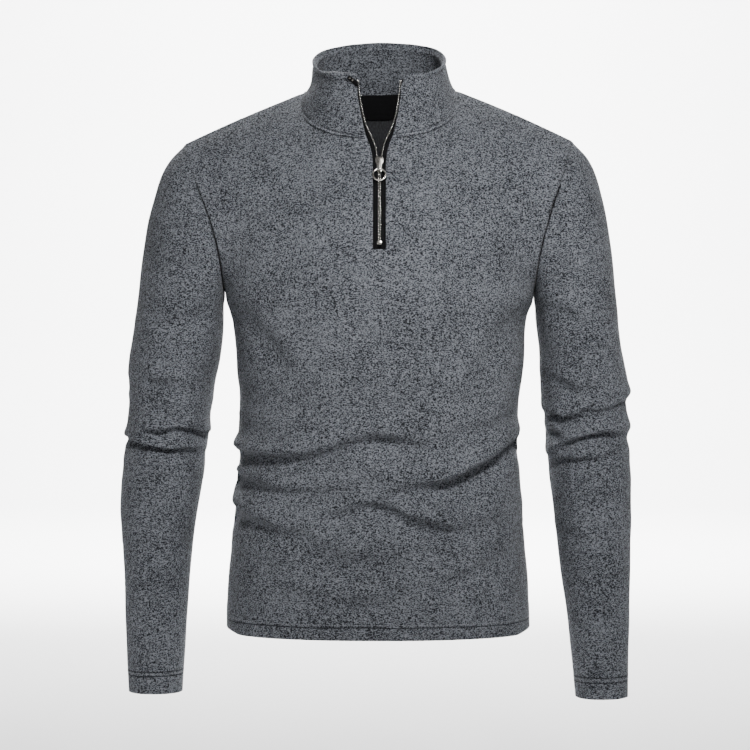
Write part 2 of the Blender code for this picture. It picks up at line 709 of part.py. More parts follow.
def sleeve_piece(name, table, folds, hole, wearers_left):
    if wearers_left:
        piece = Piece(name, sleeve_grid(table, hole), wraps=True, sign=-1.0, seams=SLEEVE_SEAM)
    else:
        grid = mirrored(sleeve_grid(table, mirrored(hole)))
        piece = Piece(name, grid, wraps=True, sign=1.0, seams=SLEEVE_SEAM)
    middle = column_of(table, "middle", piece.grid[..., 2])
    piece.grid[1:] = folded(piece.grid, piece.normal, folds, middle)[1:]
    piece.update()
    return piece


def neck_seam(front, back):
    """The neckline from the slit's edge round the wearer's left side and back to the slit."""
    slit = front.grid.shape[1] // 2
    return np.concatenate([
        front.grid[-1, slit: slit + NECK_COLUMNS + 1],
        back.grid[-1, SHOULDER_COLUMNS + 1: -SHOULDER_COLUMNS - 1],
        front.grid[-1, SHOULDER_COLUMNS: slit],
    ])


def cloth_pieces():
    """Front, back, sleeves and collar, folded and set back from their seams."""
    half = front_half()
    front = Piece("front", np.concatenate([mirrored(half)[:, ::-1], half], axis=1), seams=PANEL_SEAMS)
    half = back_half()
    back = Piece("back", np.concatenate([half, mirrored(half)[:, -2::-1]], axis=1), seams=PANEL_SEAMS)
    share_normals((front, back))
    for panel in (front, back):
        panel.grid = tilted(folded(panel.grid, panel.normal, FOLDS))
        panel.update()
    left = sleeve_piece(
        "sleeve_left", SLEEVE_LEFT, SLEEVE_FOLDS_LEFT, armhole(front, back, True), True
    )
    right = sleeve_piece(
        "sleeve_right", SLEEVE_RIGHT, SLEEVE_FOLDS_RIGHT, armhole(front, back, False), False
    )
    collar = Piece("collar", collar_grid(neck_seam(front, back)), seams=COLLAR_SEAM)
    pieces = (front, back, left, right, collar)
    share_normals(pieces)
    for piece in pieces:
        piece.set_back(COLLAR_LIFT if piece is collar else SEAM_GAP / 2)
    return pieces


def build_panels(front, back, collection):
    """The front with its slit, and the back; returns the inner faces."""
    chest = len(BODY_ROWS) - 1
    slit = front.grid.shape[1] // 2 - 1
    front_inner = front.inner(turned_up(front.grid, 0, HEM_DEPTH))
    back_inner = back.inner(turned_up(back.grid, 0, HEM_DEPTH))
    wall(
        "front", front.grid, front_inner, HEATHER, collection,
        left_open=lambda row, column: column == slit and row >= chest + SLIT_ROW,
    )
    wall("back", back.grid, back_inner, HEATHER, collection)
    return front_inner, back_inner


def build_sleeves(sleeves, collection):
    for sleeve in sleeves:
        inner = sleeve.inner(turned_up(sleeve.grid, -1, CUFF_DEPTH))
        wall(sleeve.name, sleeve.grid, inner, HEATHER, collection, wraps=True)


def build_collar(collar, collection):
    """The collar with its rounded rim, thinner at its ends beside the zip; returns its inner face."""
    rows, columns = collar.grid.shape[:2]
    thick = np.full((rows, columns, 1), COLLAR_CLOTH)
    thick[:, [0, -1]] = COLLAR_END
    thick[0] = CLOTH
    proud = np.full((rows, 1, 1), COLLAR_PROUD)
    proud[0] = 0.0
    outer = collar.grid + collar.normal * proud
    inner = outer - collar.normal * thick
    middle = (outer[-1] + inner[-1]) / 2
    outer[-1] = middle + (outer[-1] - middle) * RIM_NARROWING
    inner[-1] = middle + (inner[-1] - middle) * RIM_NARROWING
    wall("collar", outer, inner, HEATHER, collection)
    return inner


def build_neck_band(back, back_inner, collection):
    """The facing inside the back neck, over the back's own points."""
    middle = back.grid.shape[1] // 2
    columns = slice(middle - BAND_COLUMNS, middle + BAND_COLUMNS + 1)
    at = back.grid.shape[0] - 1 - np.array(BAND_ROWS)
    row = np.minimum(np.floor(at).astype(int), back.grid.shape[0] - 2)
    share = (at - row)[:, None, None]
    face = back_inner[row, columns] * (1 - share) + back_inner[row + 1, columns] * share
    out = unit(back.normal[row, columns] * (1 - share) + back.normal[row + 1, columns] * share)
    outer = face - out * BAND_GAP
    wall("neck_band", outer, outer - out * BAND, BLACK_TAPE, collection)


# ----------------------------------------------------------------------- zip

class ZipSide:
    """The rows that one half of the zip follows, along the inner face beside the slit."""

    def __init__(self, front, front_inner, collar, collar_inner, wearers_left):
        slit = front.grid.shape[1] // 2
        edge, beside = (slit, slit + 1) if wearers_left else (slit - 1, slit - 2)
        end, next_to = (0, 1) if wearers_left else (-1, -2)
        first = len(BODY_ROWS) - 1 + SLIT_ROW
        below = 1.0 - TAPE_BELOW_SLIT
        self.name = "left" if wearers_left else "right"
        self.side = 1.0 if wearers_left else -1.0
        rows = []
        for face in (
            front_inner[:, edge], front_inner[:, beside], front.normal[:, edge],
        ):
            rows.append([face[first - 1] * (1 - below) + face[first] * below, *face[first:]])
        for line, face in zip(
            rows, (collar_inner[:, end], collar_inner[:, next_to], collar.normal[:, end])
        ):
            line.extend(face[1:-1])
        self.edge, self.beside, self.normal = (self.refined(np.array(line)) for line in rows)
        self.normal = unit(self.normal)
        self.teeth = column_of(ZIP, "teeth", self.edge[:, 2])

    @staticmethod
    def refined(line):
        """The rows with one more halfway between each two."""
        halfway = (line[:-1] + line[1:]) / 2
        both = np.empty((2 * len(line) - 1, 3))
        both[::2] = line
        both[1::2] = halfway
        return both

    def at(self, distance):
        """Points of the inner face this far from the centre line."""
        across = unit(self.beside - self.edge)
        past = distance - np.abs(self.edge[:, 0])
        return self.edge + across * past[:, None]

    def strip(self, near, far, front, depth):
        """Outer and inner grids of a strip between two distances from the centre line."""
        order = (near, far) if self.side > 0 else (far, near)
        outer = np.stack([self.at(distance) for distance in order], axis=1)
        out = self.normal[:, None]
        return outer + out * front, outer + out * (front - depth)


def shortened(grids, first, last):
    """Rows of a strip between two heights, cut square at both."""
    outer, inner = grids
    z = outer[:, 0, 2]
    kept = np.flatnonzero((z > first) & (z < last))
    ends = []
    for height, row in ((first, kept[0] - 1), (last, kept[-1])):
        share = (height - z[row]) / (z[row + 1] - z[row])
        ends.append([grid[row] * (1 - share) + grid[row + 1] * share for grid in grids])
    return tuple(
        np.concatenate([[low], grid[kept], [high]])
        for grid, low, high in zip(grids, ends[0], ends[1])
    )


def build_zip_half(side, collection):
    """Tape, teeth and top stop of one half; returns the grids of its teeth."""
    half = TEETH_WIDTH / 2
    tape = side.strip(side.teeth + half + SEAM_GAP, side.teeth + TAPE_WIDTH, -TAPE_GAP, TAPE)
    wall(f"zip_tape_{side.name}", *tape, BLACK_TAPE, collection)
    front = TEETH_DEPTH / 2 - TAPE_GAP - TAPE / 2
    teeth = side.strip(side.teeth - half, side.teeth + half, front, TEETH_DEPTH)
    rows = shortened(teeth, TEETH_BOTTOM, TEETH_TOP)
    wall(f"zip_teeth_{side.name}", *rows, NICKEL, collection)
    stop = shortened(
        side.strip(side.teeth - half - STOP_PROUD, side.teeth + half, front + STOP_PROUD,
                   TEETH_DEPTH + 2 * STOP_PROUD),
        TEETH_TOP + SEAM_GAP, TEETH_TOP + SEAM_GAP + STOP_HEIGHT,
    )
    wall(f"zip_stop_{side.name}", *stop, NICKEL, collection)


def centre_frame(left, right, z, forward):
    """A frame on the zip's middle plane at a height: X across, Y up the zip, Z out of the cloth."""
    heights = left.edge[:, 2]
    middle = []
    for side in (left, right):
        line = side.at(np.zeros(len(heights)))
        middle.append([np.interp(z, heights, line[:, axis]) for axis in range(3)])
    out = np.array([np.interp(z, heights, left.normal[:, axis]) for axis in range(3)])
    out[0] = 0.0
    out = Vector(out).normalized()
    across = Vector((1.0, 0.0, 0.0))
    up = out.cross(across)
    place = (Vector(middle[0]) + Vector(middle[1])) / 2
    place.x = 0.0
    place += out * (forward - TAPE_GAP - TAPE / 2)
    turned = Matrix((across, up, out)).transposed().to_4x4()
    return Matrix.Translation(place) @ turned


def prism(name, outline, axis, low, high, paint, collection):
    """A flat outline carried along one local axis from low to high."""
    shape = bmesh.new()
    others = [i for i in range(3) if i != axis]
    verts = []
    for first, second in outline:
        place = [0.0, 0.0, 0.0]
        place[others[0]] = first
        place[others[1]] = second
        place[axis] = low
        verts.append(shape.verts.new(place))
    face = shape.faces.new(verts)
    grown = bmesh.ops.extrude_face_region(shape, geom=[face])["geom"]
    moved = [item for item in grown if isinstance(item, bmesh.types.BMVert)]
    shift = Vector((0.0, 0.0, 0.0))
    shift[axis] = high - low
    bmesh.ops.translate(shape, verts=moved, vec=shift)
    bmesh.ops.recalc_face_normals(shape, faces=shape.faces)
    mesh = bpy.data.meshes.new(name)
    shape.to_mesh(mesh)
    shape.free()
    mesh.materials.append(material(paint))
    obj = bpy.data.objects.new(name, mesh)
    collection.objects.link(obj)
    return obj


def plate_outline():
    """The slider's plate seen from in front: wide shoulders at the top, narrow below."""
    wide = SLIDER_WIDTH / 2
    narrow = SLIDER_NECK / 2
    right = [
        (narrow * 0.80, -SLIDER_LENGTH), (narrow, -SLIDER_LENGTH * 0.93),
        (narrow, -SLIDER_LENGTH * 0.55), (wide, -SLIDER_LENGTH * 0.30),
        (wide, -SLIDER_LENGTH * 0.10), (wide * 0.78, 0.0),
    ]
    return right + [(-x, y) for x, y in reversed(right)]


def build_slider(frame, collection, helpers):
    """Two plates, the post that parts the teeth, and the bridge that holds the ring."""
    inside = TEETH_DEPTH / 2 + CHANNEL_CLEARANCE
    face = inside + SLIDER_PLATE
    room = 2 * (RING_WIRE + RING_CLEARANCE)
    slider = prism("zip_slider", plate_outline(), 2, inside, face, NICKEL, collection)
    back = prism("slider_back", plate_outline(), 2, -face, -inside, NICKEL, helpers)
    half = SLIDER_POST / 2
    post_outline = [(-half, -0.0002), (0.0, -SLIDER_POST_LENGTH), (half, -0.0002)]
    post = prism("slider_post", post_outline, 2, -inside - 0.0004, inside + 0.0004, NICKEL, helpers)
    foot, top = -SLIDER_LENGTH + 0.0002, -0.0022
    outer = face + room + BRIDGE_STOCK
    sunk = face - 0.0004
    bridge_outline = [
        (foot, sunk), (foot, outer - 0.0010), (foot + 0.0010, outer), (top - 0.0026, outer),
        (top, face + 0.0006), (top, sunk), (top - BRIDGE_STOCK * 1.3, sunk),
        (top - BRIDGE_STOCK * 1.3, face + 0.0004), (top - 0.0036, outer - BRIDGE_STOCK),
        (foot + BRIDGE_STOCK, outer - BRIDGE_STOCK), (foot + BRIDGE_STOCK, sunk),
    ]
    bridge = prism(
        "slider_bridge", bridge_outline, 0, -BRIDGE_WIDTH / 2, BRIDGE_WIDTH / 2, NICKEL, helpers
    )
    for tool in (back, post, bridge):
        tool.hide_render = True
        tool.display_type = "WIRE"
        join = slider.modifiers.new(f"join_{tool.name}", "BOOLEAN")
        join.operation = "UNION"
        join.object = tool
        tool.matrix_world = frame
    slider.matrix_world = frame


def build_ring(frame, collection):
    """The ring pull, hung from the bridge; its parent stands on the joint's axis."""
    height = TEETH_DEPTH / 2 + CHANNEL_CLEARANCE + SLIDER_PLATE + RING_CLEARANCE + RING_WIRE
    pivot = bpy.data.objects.new("pull_pivot", None)
    collection.objects.link(pivot)
    pivot.matrix_world = frame @ Matrix.Translation((0.0, -RING_BELOW_TOP, height))
    bpy.ops.mesh.primitive_torus_add(
        major_radius=RING_RADIUS, minor_radius=RING_WIRE, major_segments=28, minor_segments=8,
        location=(0.0, 0.0, 0.0),
    )
    ring = bpy.context.object
    ring.name = "pull_ring"
    for home in list(ring.users_collection):
        home.objects.unlink(ring)
    collection.objects.link(ring)
    ring.parent = pivot
    ring.location = (0.0, -RING_RADIUS, 0.0)
    ring.data.materials.append(material(NICKEL))
    ring.data.shade_smooth()


def build_bottom_stop(left, right, collection):
    frame = centre_frame(left, right, TEETH_BOTTOM - SEAM_GAP - BOTTOM_STOP_HEIGHT / 2, 0.0)
    half = BOTTOM_STOP_WIDTH / 2
    corner = half * 0.75
    low, high = -BOTTOM_STOP_HEIGHT / 2, BOTTOM_STOP_HEIGHT / 2
    outline = [
        (-corner, low), (corner, low), (half, low * 0.6), (half, high * 0.6),
        (corner, high), (-corner, high), (-half, high * 0.6), (-half, low * 0.6),
    ]
    behind = TAPE / 2 + SEAM_GAP
    stop = prism(
        "zip_stop_bottom", outline, 2, behind, behind + BOTTOM_STOP_DEPTH, NICKEL, collection
    )
    stop.matrix_world = frame


def main():
    clear_scene()
    garment = bpy.data.collections.new("quarter_zip_sweatshirt")
    helpers = bpy.data.collections.new("helpers")
    bpy.context.scene.collection.children.link(garment)
    bpy.context.scene.collection.children.link(helpers)
    front, back, sleeve_left, sleeve_right, collar = cloth_pieces()
    front_inner, back_inner = build_panels(front, back, garment)
    build_sleeves((sleeve_left, sleeve_right), garment)
    collar_inner = build_collar(collar, garment)
    build_neck_band(back, back_inner, garment)
    left = ZipSide(front, front_inner, collar, collar_inner, wearers_left=True)
    right = ZipSide(front, front_inner, collar, collar_inner, wearers_left=False)
    for side in (left, right):
        build_zip_half(side, garment)
    build_bottom_stop(left, right, garment)
    frame = centre_frame(left, right, SLIDER_TOP - SLIDER_LENGTH / 2, 0.0)
    frame = frame @ Matrix.Translation((0.0, SLIDER_LENGTH / 2, 0.0))
    build_slider(frame, garment, helpers)
    build_ring(frame, garment)


if __name__ == "__main__":
    main()
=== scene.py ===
"""A grey-heather quarter-zip sweatshirt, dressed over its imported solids.

Metres, +Z up; the front faces -Y and the wearer's left is +X.
"""

import itertools
import logging
import math
from dataclasses import dataclass, field
from enum import Enum
from typing import Callable, Optional, Sequence

import bmesh
import bpy
import numpy as np
from mathutils import Matrix, Vector
from mathutils.bvhtree import BVHTree
from mathutils.kdtree import KDTree

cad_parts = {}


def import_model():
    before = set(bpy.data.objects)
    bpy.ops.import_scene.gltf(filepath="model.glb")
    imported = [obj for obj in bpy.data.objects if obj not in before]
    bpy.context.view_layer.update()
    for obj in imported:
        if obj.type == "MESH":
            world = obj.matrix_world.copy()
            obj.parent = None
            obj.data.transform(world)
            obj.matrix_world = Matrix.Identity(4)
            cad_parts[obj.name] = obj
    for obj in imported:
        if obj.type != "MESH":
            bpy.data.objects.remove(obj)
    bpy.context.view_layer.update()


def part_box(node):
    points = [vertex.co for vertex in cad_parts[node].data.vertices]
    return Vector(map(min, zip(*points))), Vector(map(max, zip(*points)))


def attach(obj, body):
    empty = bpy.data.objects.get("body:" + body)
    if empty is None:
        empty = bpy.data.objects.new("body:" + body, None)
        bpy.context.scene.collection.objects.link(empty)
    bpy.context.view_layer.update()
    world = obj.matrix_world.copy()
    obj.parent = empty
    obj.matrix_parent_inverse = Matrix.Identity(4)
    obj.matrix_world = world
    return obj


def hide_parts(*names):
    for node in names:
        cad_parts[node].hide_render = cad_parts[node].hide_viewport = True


# The lines pressed in by the sewing, which the knit paints dark as shade: side (0 for the body, else
# the sleeve's) and height.
SEWN_LINES = ((0.0, -0.6188), (1.0, -0.6840), (1.0, -0.6900), (-1.0, -0.6770), (-1.0, -0.6820))
SEWN_HALF = 0.0011      # their half width
SLEEVES_FROM = 0.2      # x beyond which the cloth at those heights is a sleeve's
LOG = logging.getLogger("sweatshirt")
GARMENT = "garment"
PULL = "pull"
Array = np.ndarray
Obj = bpy.types.Object
Material = bpy.types.Material
Socket = bpy.types.NodeSocket
Colour = tuple[float, float, float, float]


class Side(Enum):
    """The wearer's side that a piece belongs to; the value is its sign along X."""

    LEFT = 1
    RIGHT = -1

    @property
    def word(self) -> str:
        """The side's word in node names."""
        return self.name.lower()


class Face(Enum):
    """Which faces of a cloth piece a fold is pressed into."""

    FRONT = -1
    BACK = 1


# ---- materials


@dataclass
class Nodes:
    """A material's node tree, with short calls that add and join nodes.

    Attributes:
        name: the material's name.
    """

    name: str
    material: Material = field(init=False)

    def __post_init__(self) -> None:
        """Makes the material; its tree starts with the shader and the output."""
        self.material = bpy.data.materials.new(self.name)
        self.material.use_nodes = True
        self.tree = self.material.node_tree
        self.shader = self.tree.nodes["Principled BSDF"]

    def add(self, kind: str, inputs: Optional[dict] = None, **settings: object) -> bpy.types.Node:
        """Adds a node.

        Args:
            kind: the node's class name without "ShaderNode".
            inputs: socket name or index to a value or to an output socket.
            settings: the node's own properties.

        Returns:
            The node.
        """
        node = self.tree.nodes.new("ShaderNode" + kind)
        for key, value in settings.items():
            setattr(node, key, value)
        for key, value in (inputs or {}).items():
            self.feed(node.inputs[key], value)
        return node

    def feed(self, socket: Socket, value: object) -> None:
        """Sets a socket's value, or links it to an output socket."""
        if isinstance(value, Socket):
            self.tree.links.new(value, socket)
        else:
            socket.default_value = value

    def place(self, kind: str, stretch: Optional[tuple] = None) -> Socket:
        """Texture coordinates of a kind, multiplied by the stretch if there is one."""
        vector = self.add("TexCoord").outputs[kind]
        if stretch:
            vector = self.add("Mapping", {"Vector": vector, "Scale": stretch}).outputs["Vector"]
        return vector

    def math(self, operation: str, first: object, second: object = 0.0,
             third: object = 0.0) -> Socket:
        """Adds a Math node and returns its output."""
        return self.add("Math", {0: first, 1: second, 2: third}, operation=operation).outputs[0]

    def step(self, value: object, low: float, high: float) -> Socket:
        """A smooth step from 0 at low to 1 at high."""
        ends = {"Value": value, "From Min": low, "From Max": high}
        return self.add("MapRange", ends, interpolation_type="SMOOTHSTEP").outputs["Result"]

    def noise(self, vector: object, scale: float, detail: float = 2.0,
              roughness: float = 0.5) -> Socket:
        """A noise texture's factor."""
        says = {"Vector": vector, "Scale": scale, "Detail": detail, "Roughness": roughness}
        return self.add("TexNoise", says).outputs["Fac"]

    def mix(self, share: object, first: object, second: object) -> Socket:
        """A mix of two colours."""
        says = {"Factor": share, "A": first, "B": second}
        return self.add("Mix", says, data_type="RGBA").outputs["Result"]

    def bump(self, height: object, distance: float, strength: float,
             normal: Optional[Socket] = None) -> Socket:
        """A bump node's normal, over another one if that is given."""
        node = self.add("Bump", {"Height": height, "Distance": distance, "Strength": strength})
        if normal is not None:
            self.feed(node.inputs["Normal"], normal)
        return node.outputs["Normal"]

    def done(self, colour: object, roughness: object, normal: object = None,
             metallic: float = 0.0, **sockets: object) -> Material:
        """Joins the shader's main sockets.

        Args:
            colour: a colour or the socket that gives it.
            roughness: a value or socket.
            normal: the bumped normal, if there is one.
            metallic: 1 for bare metal.
            sockets: other shader sockets, spaces written as underscores.

        Returns:
            The finished material.
        """
        sockets.update(Base_Color=colour, Roughness=roughness, Metallic=metallic)
        if normal is not None:
            sockets["Normal"] = normal
        for key, value in sockets.items():
            self.feed(self.shader.inputs[key.replace("_", " ")], value)
        return self.material


@dataclass(frozen=True)
class HeatherKnit:
    """Loop-back jersey of blue-grey marled yarn with near-black flecks.

    The flecks are solid through the cloth and read object coordinates. The rows of
    loops follow the UV map, whose units are metres of cloth.
    """

    name: str = "heather_knit"
    pale: Colour = (0.300, 0.317, 0.350, 1.0)
    mid: Colour = (0.122, 0.130, 0.148, 1.0)
    dark: Colour = (0.004, 0.005, 0.007, 1.0)
    wale: float = 0.00135
    course: float = 0.00100

    def sewn_lines(self, n: Nodes) -> Socket:
        """1 in the lines that the sewing presses in at hem and cuffs, where the knit gets painted
        shade.
        """
        parts = n.add("SeparateXYZ", {0: n.place("Object")})
        x, z = parts.outputs["X"], parts.outputs["Z"]
        wobble = n.math("MULTIPLY", n.math("SINE", n.math("MULTIPLY", x, 61.0)), 0.0004)
        level = n.math("ADD", z, wobble)
        found: object = 0.0
        for sign, height in SEWN_LINES:
            apart = n.math("ABSOLUTE", n.math("SUBTRACT", level, height))
            line = n.step(apart, SEWN_HALF, SEWN_HALF * 0.35)
            if sign:
                there = n.math("GREATER_THAN", n.math("MULTIPLY", x, sign), SLEEVES_FROM)
            else:
                there = n.math("LESS_THAN", n.math("ABSOLUTE", x), SLEEVES_FROM)
            found = n.math("MAXIMUM", found, n.math("MULTIPLY", line, there))
        return found

    def build(self) -> Material:
        """Returns the material."""
        n = Nodes(self.name)
        solid = n.place("Object")
        # each fleck is one stretch of yarn: wider than it is tall
        fine = n.place("Object", (0.70, 0.80, 1.12))
        flecks = n.noise(fine, 800.0, 1.0, 0.5)
        clumps = n.noise(fine, 300.0, 1.0, 0.5)
        drift = n.noise(solid, 24.0, 2.0, 0.5)
        shade = n.math("MULTIPLY_ADD", clumps, 0.20, flecks)
        shade = n.math("MULTIPLY_ADD", drift, 0.13, shade)
        pale = n.step(shade, 0.62, 0.83)
        dark = n.step(shade, 0.665, 0.53)
        colour = n.mix(pale, self.mid, self.pale)
        colour = n.mix(n.math("MULTIPLY", dark, 0.92), colour, self.dark)
        # rows of loops; painted shade darkens the grooves between them
        parts = n.add("SeparateXYZ", {0: n.place("UV")})
        across = n.math("MULTIPLY", parts.outputs["X"], 2 * math.pi / self.wale)
        along = n.math("MULTIPLY", parts.outputs["Y"], 2 * math.pi / self.course)
        wales = n.math("COSINE", across)
        slant = n.math("ABSOLUTE", n.math("SINE", n.math("MULTIPLY", across, 0.5)))
        loops = n.math("SINE", n.math("MULTIPLY_ADD", slant, 2.4, along))
        knit = n.math("MULTIPLY_ADD", loops, 0.45, wales)
        # painted shade: the grooves between the loops are mixed towards the dark colour
        groove = n.step(knit, -0.2, -1.3)
        colour = n.mix(n.math("MULTIPLY", groove, 0.25), colour, self.dark)
        sewn = self.sewn_lines(n)
        # painted shade in the pressed-in sewn lines at hem and cuffs
        colour = n.mix(n.math("MULTIPLY", sewn, 0.72), colour, self.dark)
        height = n.math("MULTIPLY_ADD", n.noise(solid, 1500.0, 2.0, 0.6), 0.9, knit)
        height = n.math("MULTIPLY_ADD", sewn, -4.0, height)
        normal = n.bump(height, 0.00022, 0.55)
        normal = n.bump(n.noise(solid, 90.0, 3.0, 0.6), 0.0012, 0.30, normal)
        rough = n.math("MULTIPLY_ADD", flecks, 0.10, 0.86)
        return n.done(
            colour, rough, normal, Sheen_Weight=0.07, Sheen_Roughness=0.5,
            Specular_IOR_Level=0.18,
        )


@dataclass(frozen=True)
class BrushedFleece:
    """The raised inner face of the jersey, charcoal."""

    name: str = "brushed_inside"
    colour: Colour = (0.020, 0.021, 0.024, 1.0)
    tips: Colour = (0.050, 0.052, 0.058, 1.0)

    def build(self) -> Material:
        """Returns the material."""
        n = Nodes(self.name)
        uv = n.place("UV")
        nap = n.noise(n.place("UV", (1.0, 0.35, 1.0)), 700.0, 4.0, 0.65)
        tufts = n.noise(uv, 120.0, 3.0, 0.6)
        colour = n.mix(n.step(nap, 0.42, 0.70), self.colour, self.tips)
        height = n.math("MULTIPLY_ADD", tufts, 1.2, nap)
        return n.done(
            colour, 0.96, n.bump(height, 0.0008, 0.6), Sheen_Weight=0.30,
            Sheen_Roughness=0.6, Specular_IOR_Level=0.12,
        )


@dataclass(frozen=True)
class TwillTape:
    """Woven black tape with a fine herringbone, its raised lines painted lighter as highlight."""

    name: str = "black_tape"
    colour: Colour = (0.0030, 0.0031, 0.0035, 1.0)
    # the painted highlight colour of the raised twill lines
    ridge: Colour = (0.010, 0.010, 0.0115, 1.0)
    pitch: float = 0.00075

    def build(self) -> Material:
        """Returns the material."""
        n = Nodes(self.name)
        uv = n.place("UV")
        parts = n.add("SeparateXYZ", {0: uv})
        fold = n.math("PINGPONG", parts.outputs["X"], 0.0024)
        slope = n.math("ADD", n.math("MULTIPLY", fold, 1.3), parts.outputs["Y"])
        twill = n.math("SINE", n.math("MULTIPLY", slope, 2 * math.pi / self.pitch))
        grain = n.noise(uv, 1800.0, 3.0, 0.6)
        height = n.math("MULTIPLY_ADD", grain, 0.8, twill)
        # painted highlight: the raised twill lines are mixed towards the lighter ridge colour
        colour = n.mix(n.step(height, 0.2, 1.5), self.colour, self.ridge)
        return n.done(
            colour, 0.86, n.bump(height, 0.00012, 0.6), Sheen_Weight=0.03,
            Specular_IOR_Level=0.16,
        )


@dataclass(frozen=True)
class Thread:
    """Polyester sewing thread in the cloth's grey."""

    name: str = "grey_thread"
    colour: Colour = (0.34, 0.355, 0.39, 1.0)
    shade: Colour = (0.19, 0.20, 0.225, 1.0)

    def build(self) -> Material:
        """Returns the material."""
        n = Nodes(self.name)
        place = n.place("Object")
        twist = n.noise(place, 2600.0, 2.0, 0.5)
        tone = n.noise(place, 260.0, 2.0, 0.5)
        colour = n.mix(n.step(tone, 0.30, 0.72), self.shade, self.colour)
        return n.done(
            colour, 0.62, n.bump(twist, 0.0002, 0.5), Sheen_Weight=0.15,
            Specular_IOR_Level=0.35,
        )


@dataclass(frozen=True)
class NickelPlate:
    """Polished nickel on brass, a little warm, with fine handling marks."""

    name: str = "nickel"
    colour: Colour = (0.80, 0.775, 0.725, 1.0)
    worn: Colour = (0.60, 0.56, 0.50, 1.0)

    def build(self) -> Material:
        """Returns the material."""
        n = Nodes(self.name)
        patch = n.noise(n.place("Object"), 420.0, 3.0, 0.6)
        marks = n.noise(n.place("Object", (0.5, 1.0, 3.0)), 2400.0, 4.0, 0.7)
        colour = n.mix(n.step(patch, 0.48, 0.78), self.colour, self.worn)
        rough = n.math("MULTIPLY_ADD", marks, 0.16, 0.14)
        return n.done(colour, rough, n.bump(marks, 0.00003, 0.35), metallic=1.0)


@dataclass(frozen=True)
class StudioPaper:
    """The pale paper under and behind the garment."""

    name: str = "studio_paper"
    colour: Colour = (0.74, 0.74, 0.74, 1.0)
    shade: Colour = (0.72, 0.72, 0.724, 1.0)

    def build(self) -> Material:
        """Returns the material."""
        n = Nodes(self.name)
        tone = n.noise(n.place("Object"), 3.0, 2.0, 0.5)
        colour = n.mix(tone, self.colour, self.shade)
        return n.done(colour, 0.9, Specular_IOR_Level=0.1)


def built(recipe: object) -> object:
    """A field whose material is built once, from its recipe."""
    return field(default_factory=recipe.build)


@dataclass
class Finishes:
    """All finishes, each built once."""

    knit: Material = built(HeatherKnit())
    inside: Material = built(BrushedFleece())
    tape: Material = built(TwillTape())
    thread: Material = built(Thread())
    # near-black thread whose colour is painted shade in the groove under the collar's welt
    groove: Material = built(
        Thread("dark_thread", (0.040, 0.042, 0.048, 1.0), (0.012, 0.013, 0.016, 1.0))
    )
    nickel: Material = built(NickelPlate())
    teeth: Material = built(
        NickelPlate("teeth_nickel", (0.46, 0.45, 0.43, 1.0), (0.30, 0.29, 0.27, 1.0))
    )
    paper: Material = built(StudioPaper())


# ---- mesh tools

LEVEL = np.array([1.0, 1.0, 0.0])   # times a direction: its level part
SHARP = math.radians(55)            # edges sharper than this keep their line
SHORT = 0.0045                      # edges and distances that don't count at corners
QUAD_ANGLE = math.radians(70)


def deselect() -> None:
    """Leaves edit mode and selects nothing."""
    if bpy.context.object and bpy.context.object.mode != "OBJECT":
        bpy.ops.object.mode_set(mode="OBJECT")
    bpy.ops.object.select_all(action="DESELECT")


def take(obj: Obj) -> None:
    """Selects one object alone and makes it active."""
    deselect()
    obj.select_set(True)
    bpy.context.view_layer.objects.active = obj


def settle(obj: Obj) -> None:
    """Puts an object's place and turn into its mesh."""
    take(obj)
    bpy.ops.object.transform_apply(location=True, rotation=True, scale=True)


def whole_mesh(obj: Obj, *steps: Callable[[], object]) -> None:
    """Takes edit-mode steps on the whole mesh, one after the other."""
    take(obj)
    bpy.ops.object.mode_set(mode="EDIT")
    bpy.ops.mesh.select_all(action="SELECT")
    for step in steps:
        step()
    bpy.ops.object.mode_set(mode="OBJECT")


def modify(obj: Obj, kind: str, **settings: object) -> None:
    """Adds a modifier with the settings given and applies it."""
    take(obj)
    modifier = obj.modifiers.new(kind.lower(), kind)
    for key, value in settings.items():
        setattr(modifier, key, value)
    bpy.ops.object.modifier_apply(modifier=modifier.name)


def subdivide(obj: Obj, levels: int) -> None:
    """Applies Catmull-Clark subdivision."""
    modify(obj, "SUBSURF", levels=levels, render_levels=levels, use_limit_surface=False)


def round_edges(obj: Obj, width: float, segments: int, **more: object) -> None:
    """Bevels the edges; more settings of the modifier may follow."""
    modify(obj, "BEVEL", width=width, segments=segments, **more)


def block(name: str, size: tuple[float, ...], turn: float = 0.0) -> Obj:
    """A block to be formed further, turned about Y."""
    deselect()
    bpy.ops.mesh.primitive_cube_add(size=1.0)
    obj = bpy.context.object
    obj.name = name
    obj.scale = size
    obj.rotation_euler = (0.0, turn, 0.0)
    settle(obj)
    return obj


def points_of(obj: Obj) -> Array:
    """The mesh's vertices as rows of x, y, z."""
    flat = np.empty(len(obj.data.vertices) * 3)
    obj.data.vertices.foreach_get("co", flat)
    return flat.reshape(-1, 3)


def normals_of(obj: Obj) -> Array:
    """The vertices' normals."""
    return np.array([vert.normal for vert in obj.data.vertices])


def put_points(obj: Obj, points: Array) -> None:
    """Moves the mesh's vertices to the given rows."""
    obj.data.vertices.foreach_set("co", np.ascontiguousarray(points, np.float32).ravel())
    obj.data.update()


def write_uv(obj: Obj, spots: Array, turn: float = 0.0) -> None:
    """Writes the UV map.

    Args:
        obj: the mesh object.
        spots: u and v of each vertex.
        turn: the map's length once round, if it closes on itself.
    """
    mesh = obj.data
    uv = spots[[loop.vertex_index for loop in mesh.loops]]
    if turn:
        first = np.repeat(*np.array([(p.loop_start, p.loop_total) for p in mesh.polygons]).T)
        uv[:, 0] -= turn * np.round((uv[:, 0] - uv[first, 0]) / turn)
    layer = mesh.uv_layers.new(name="cloth")
    layer.data.foreach_set("uv", uv.astype(np.float32).ravel())


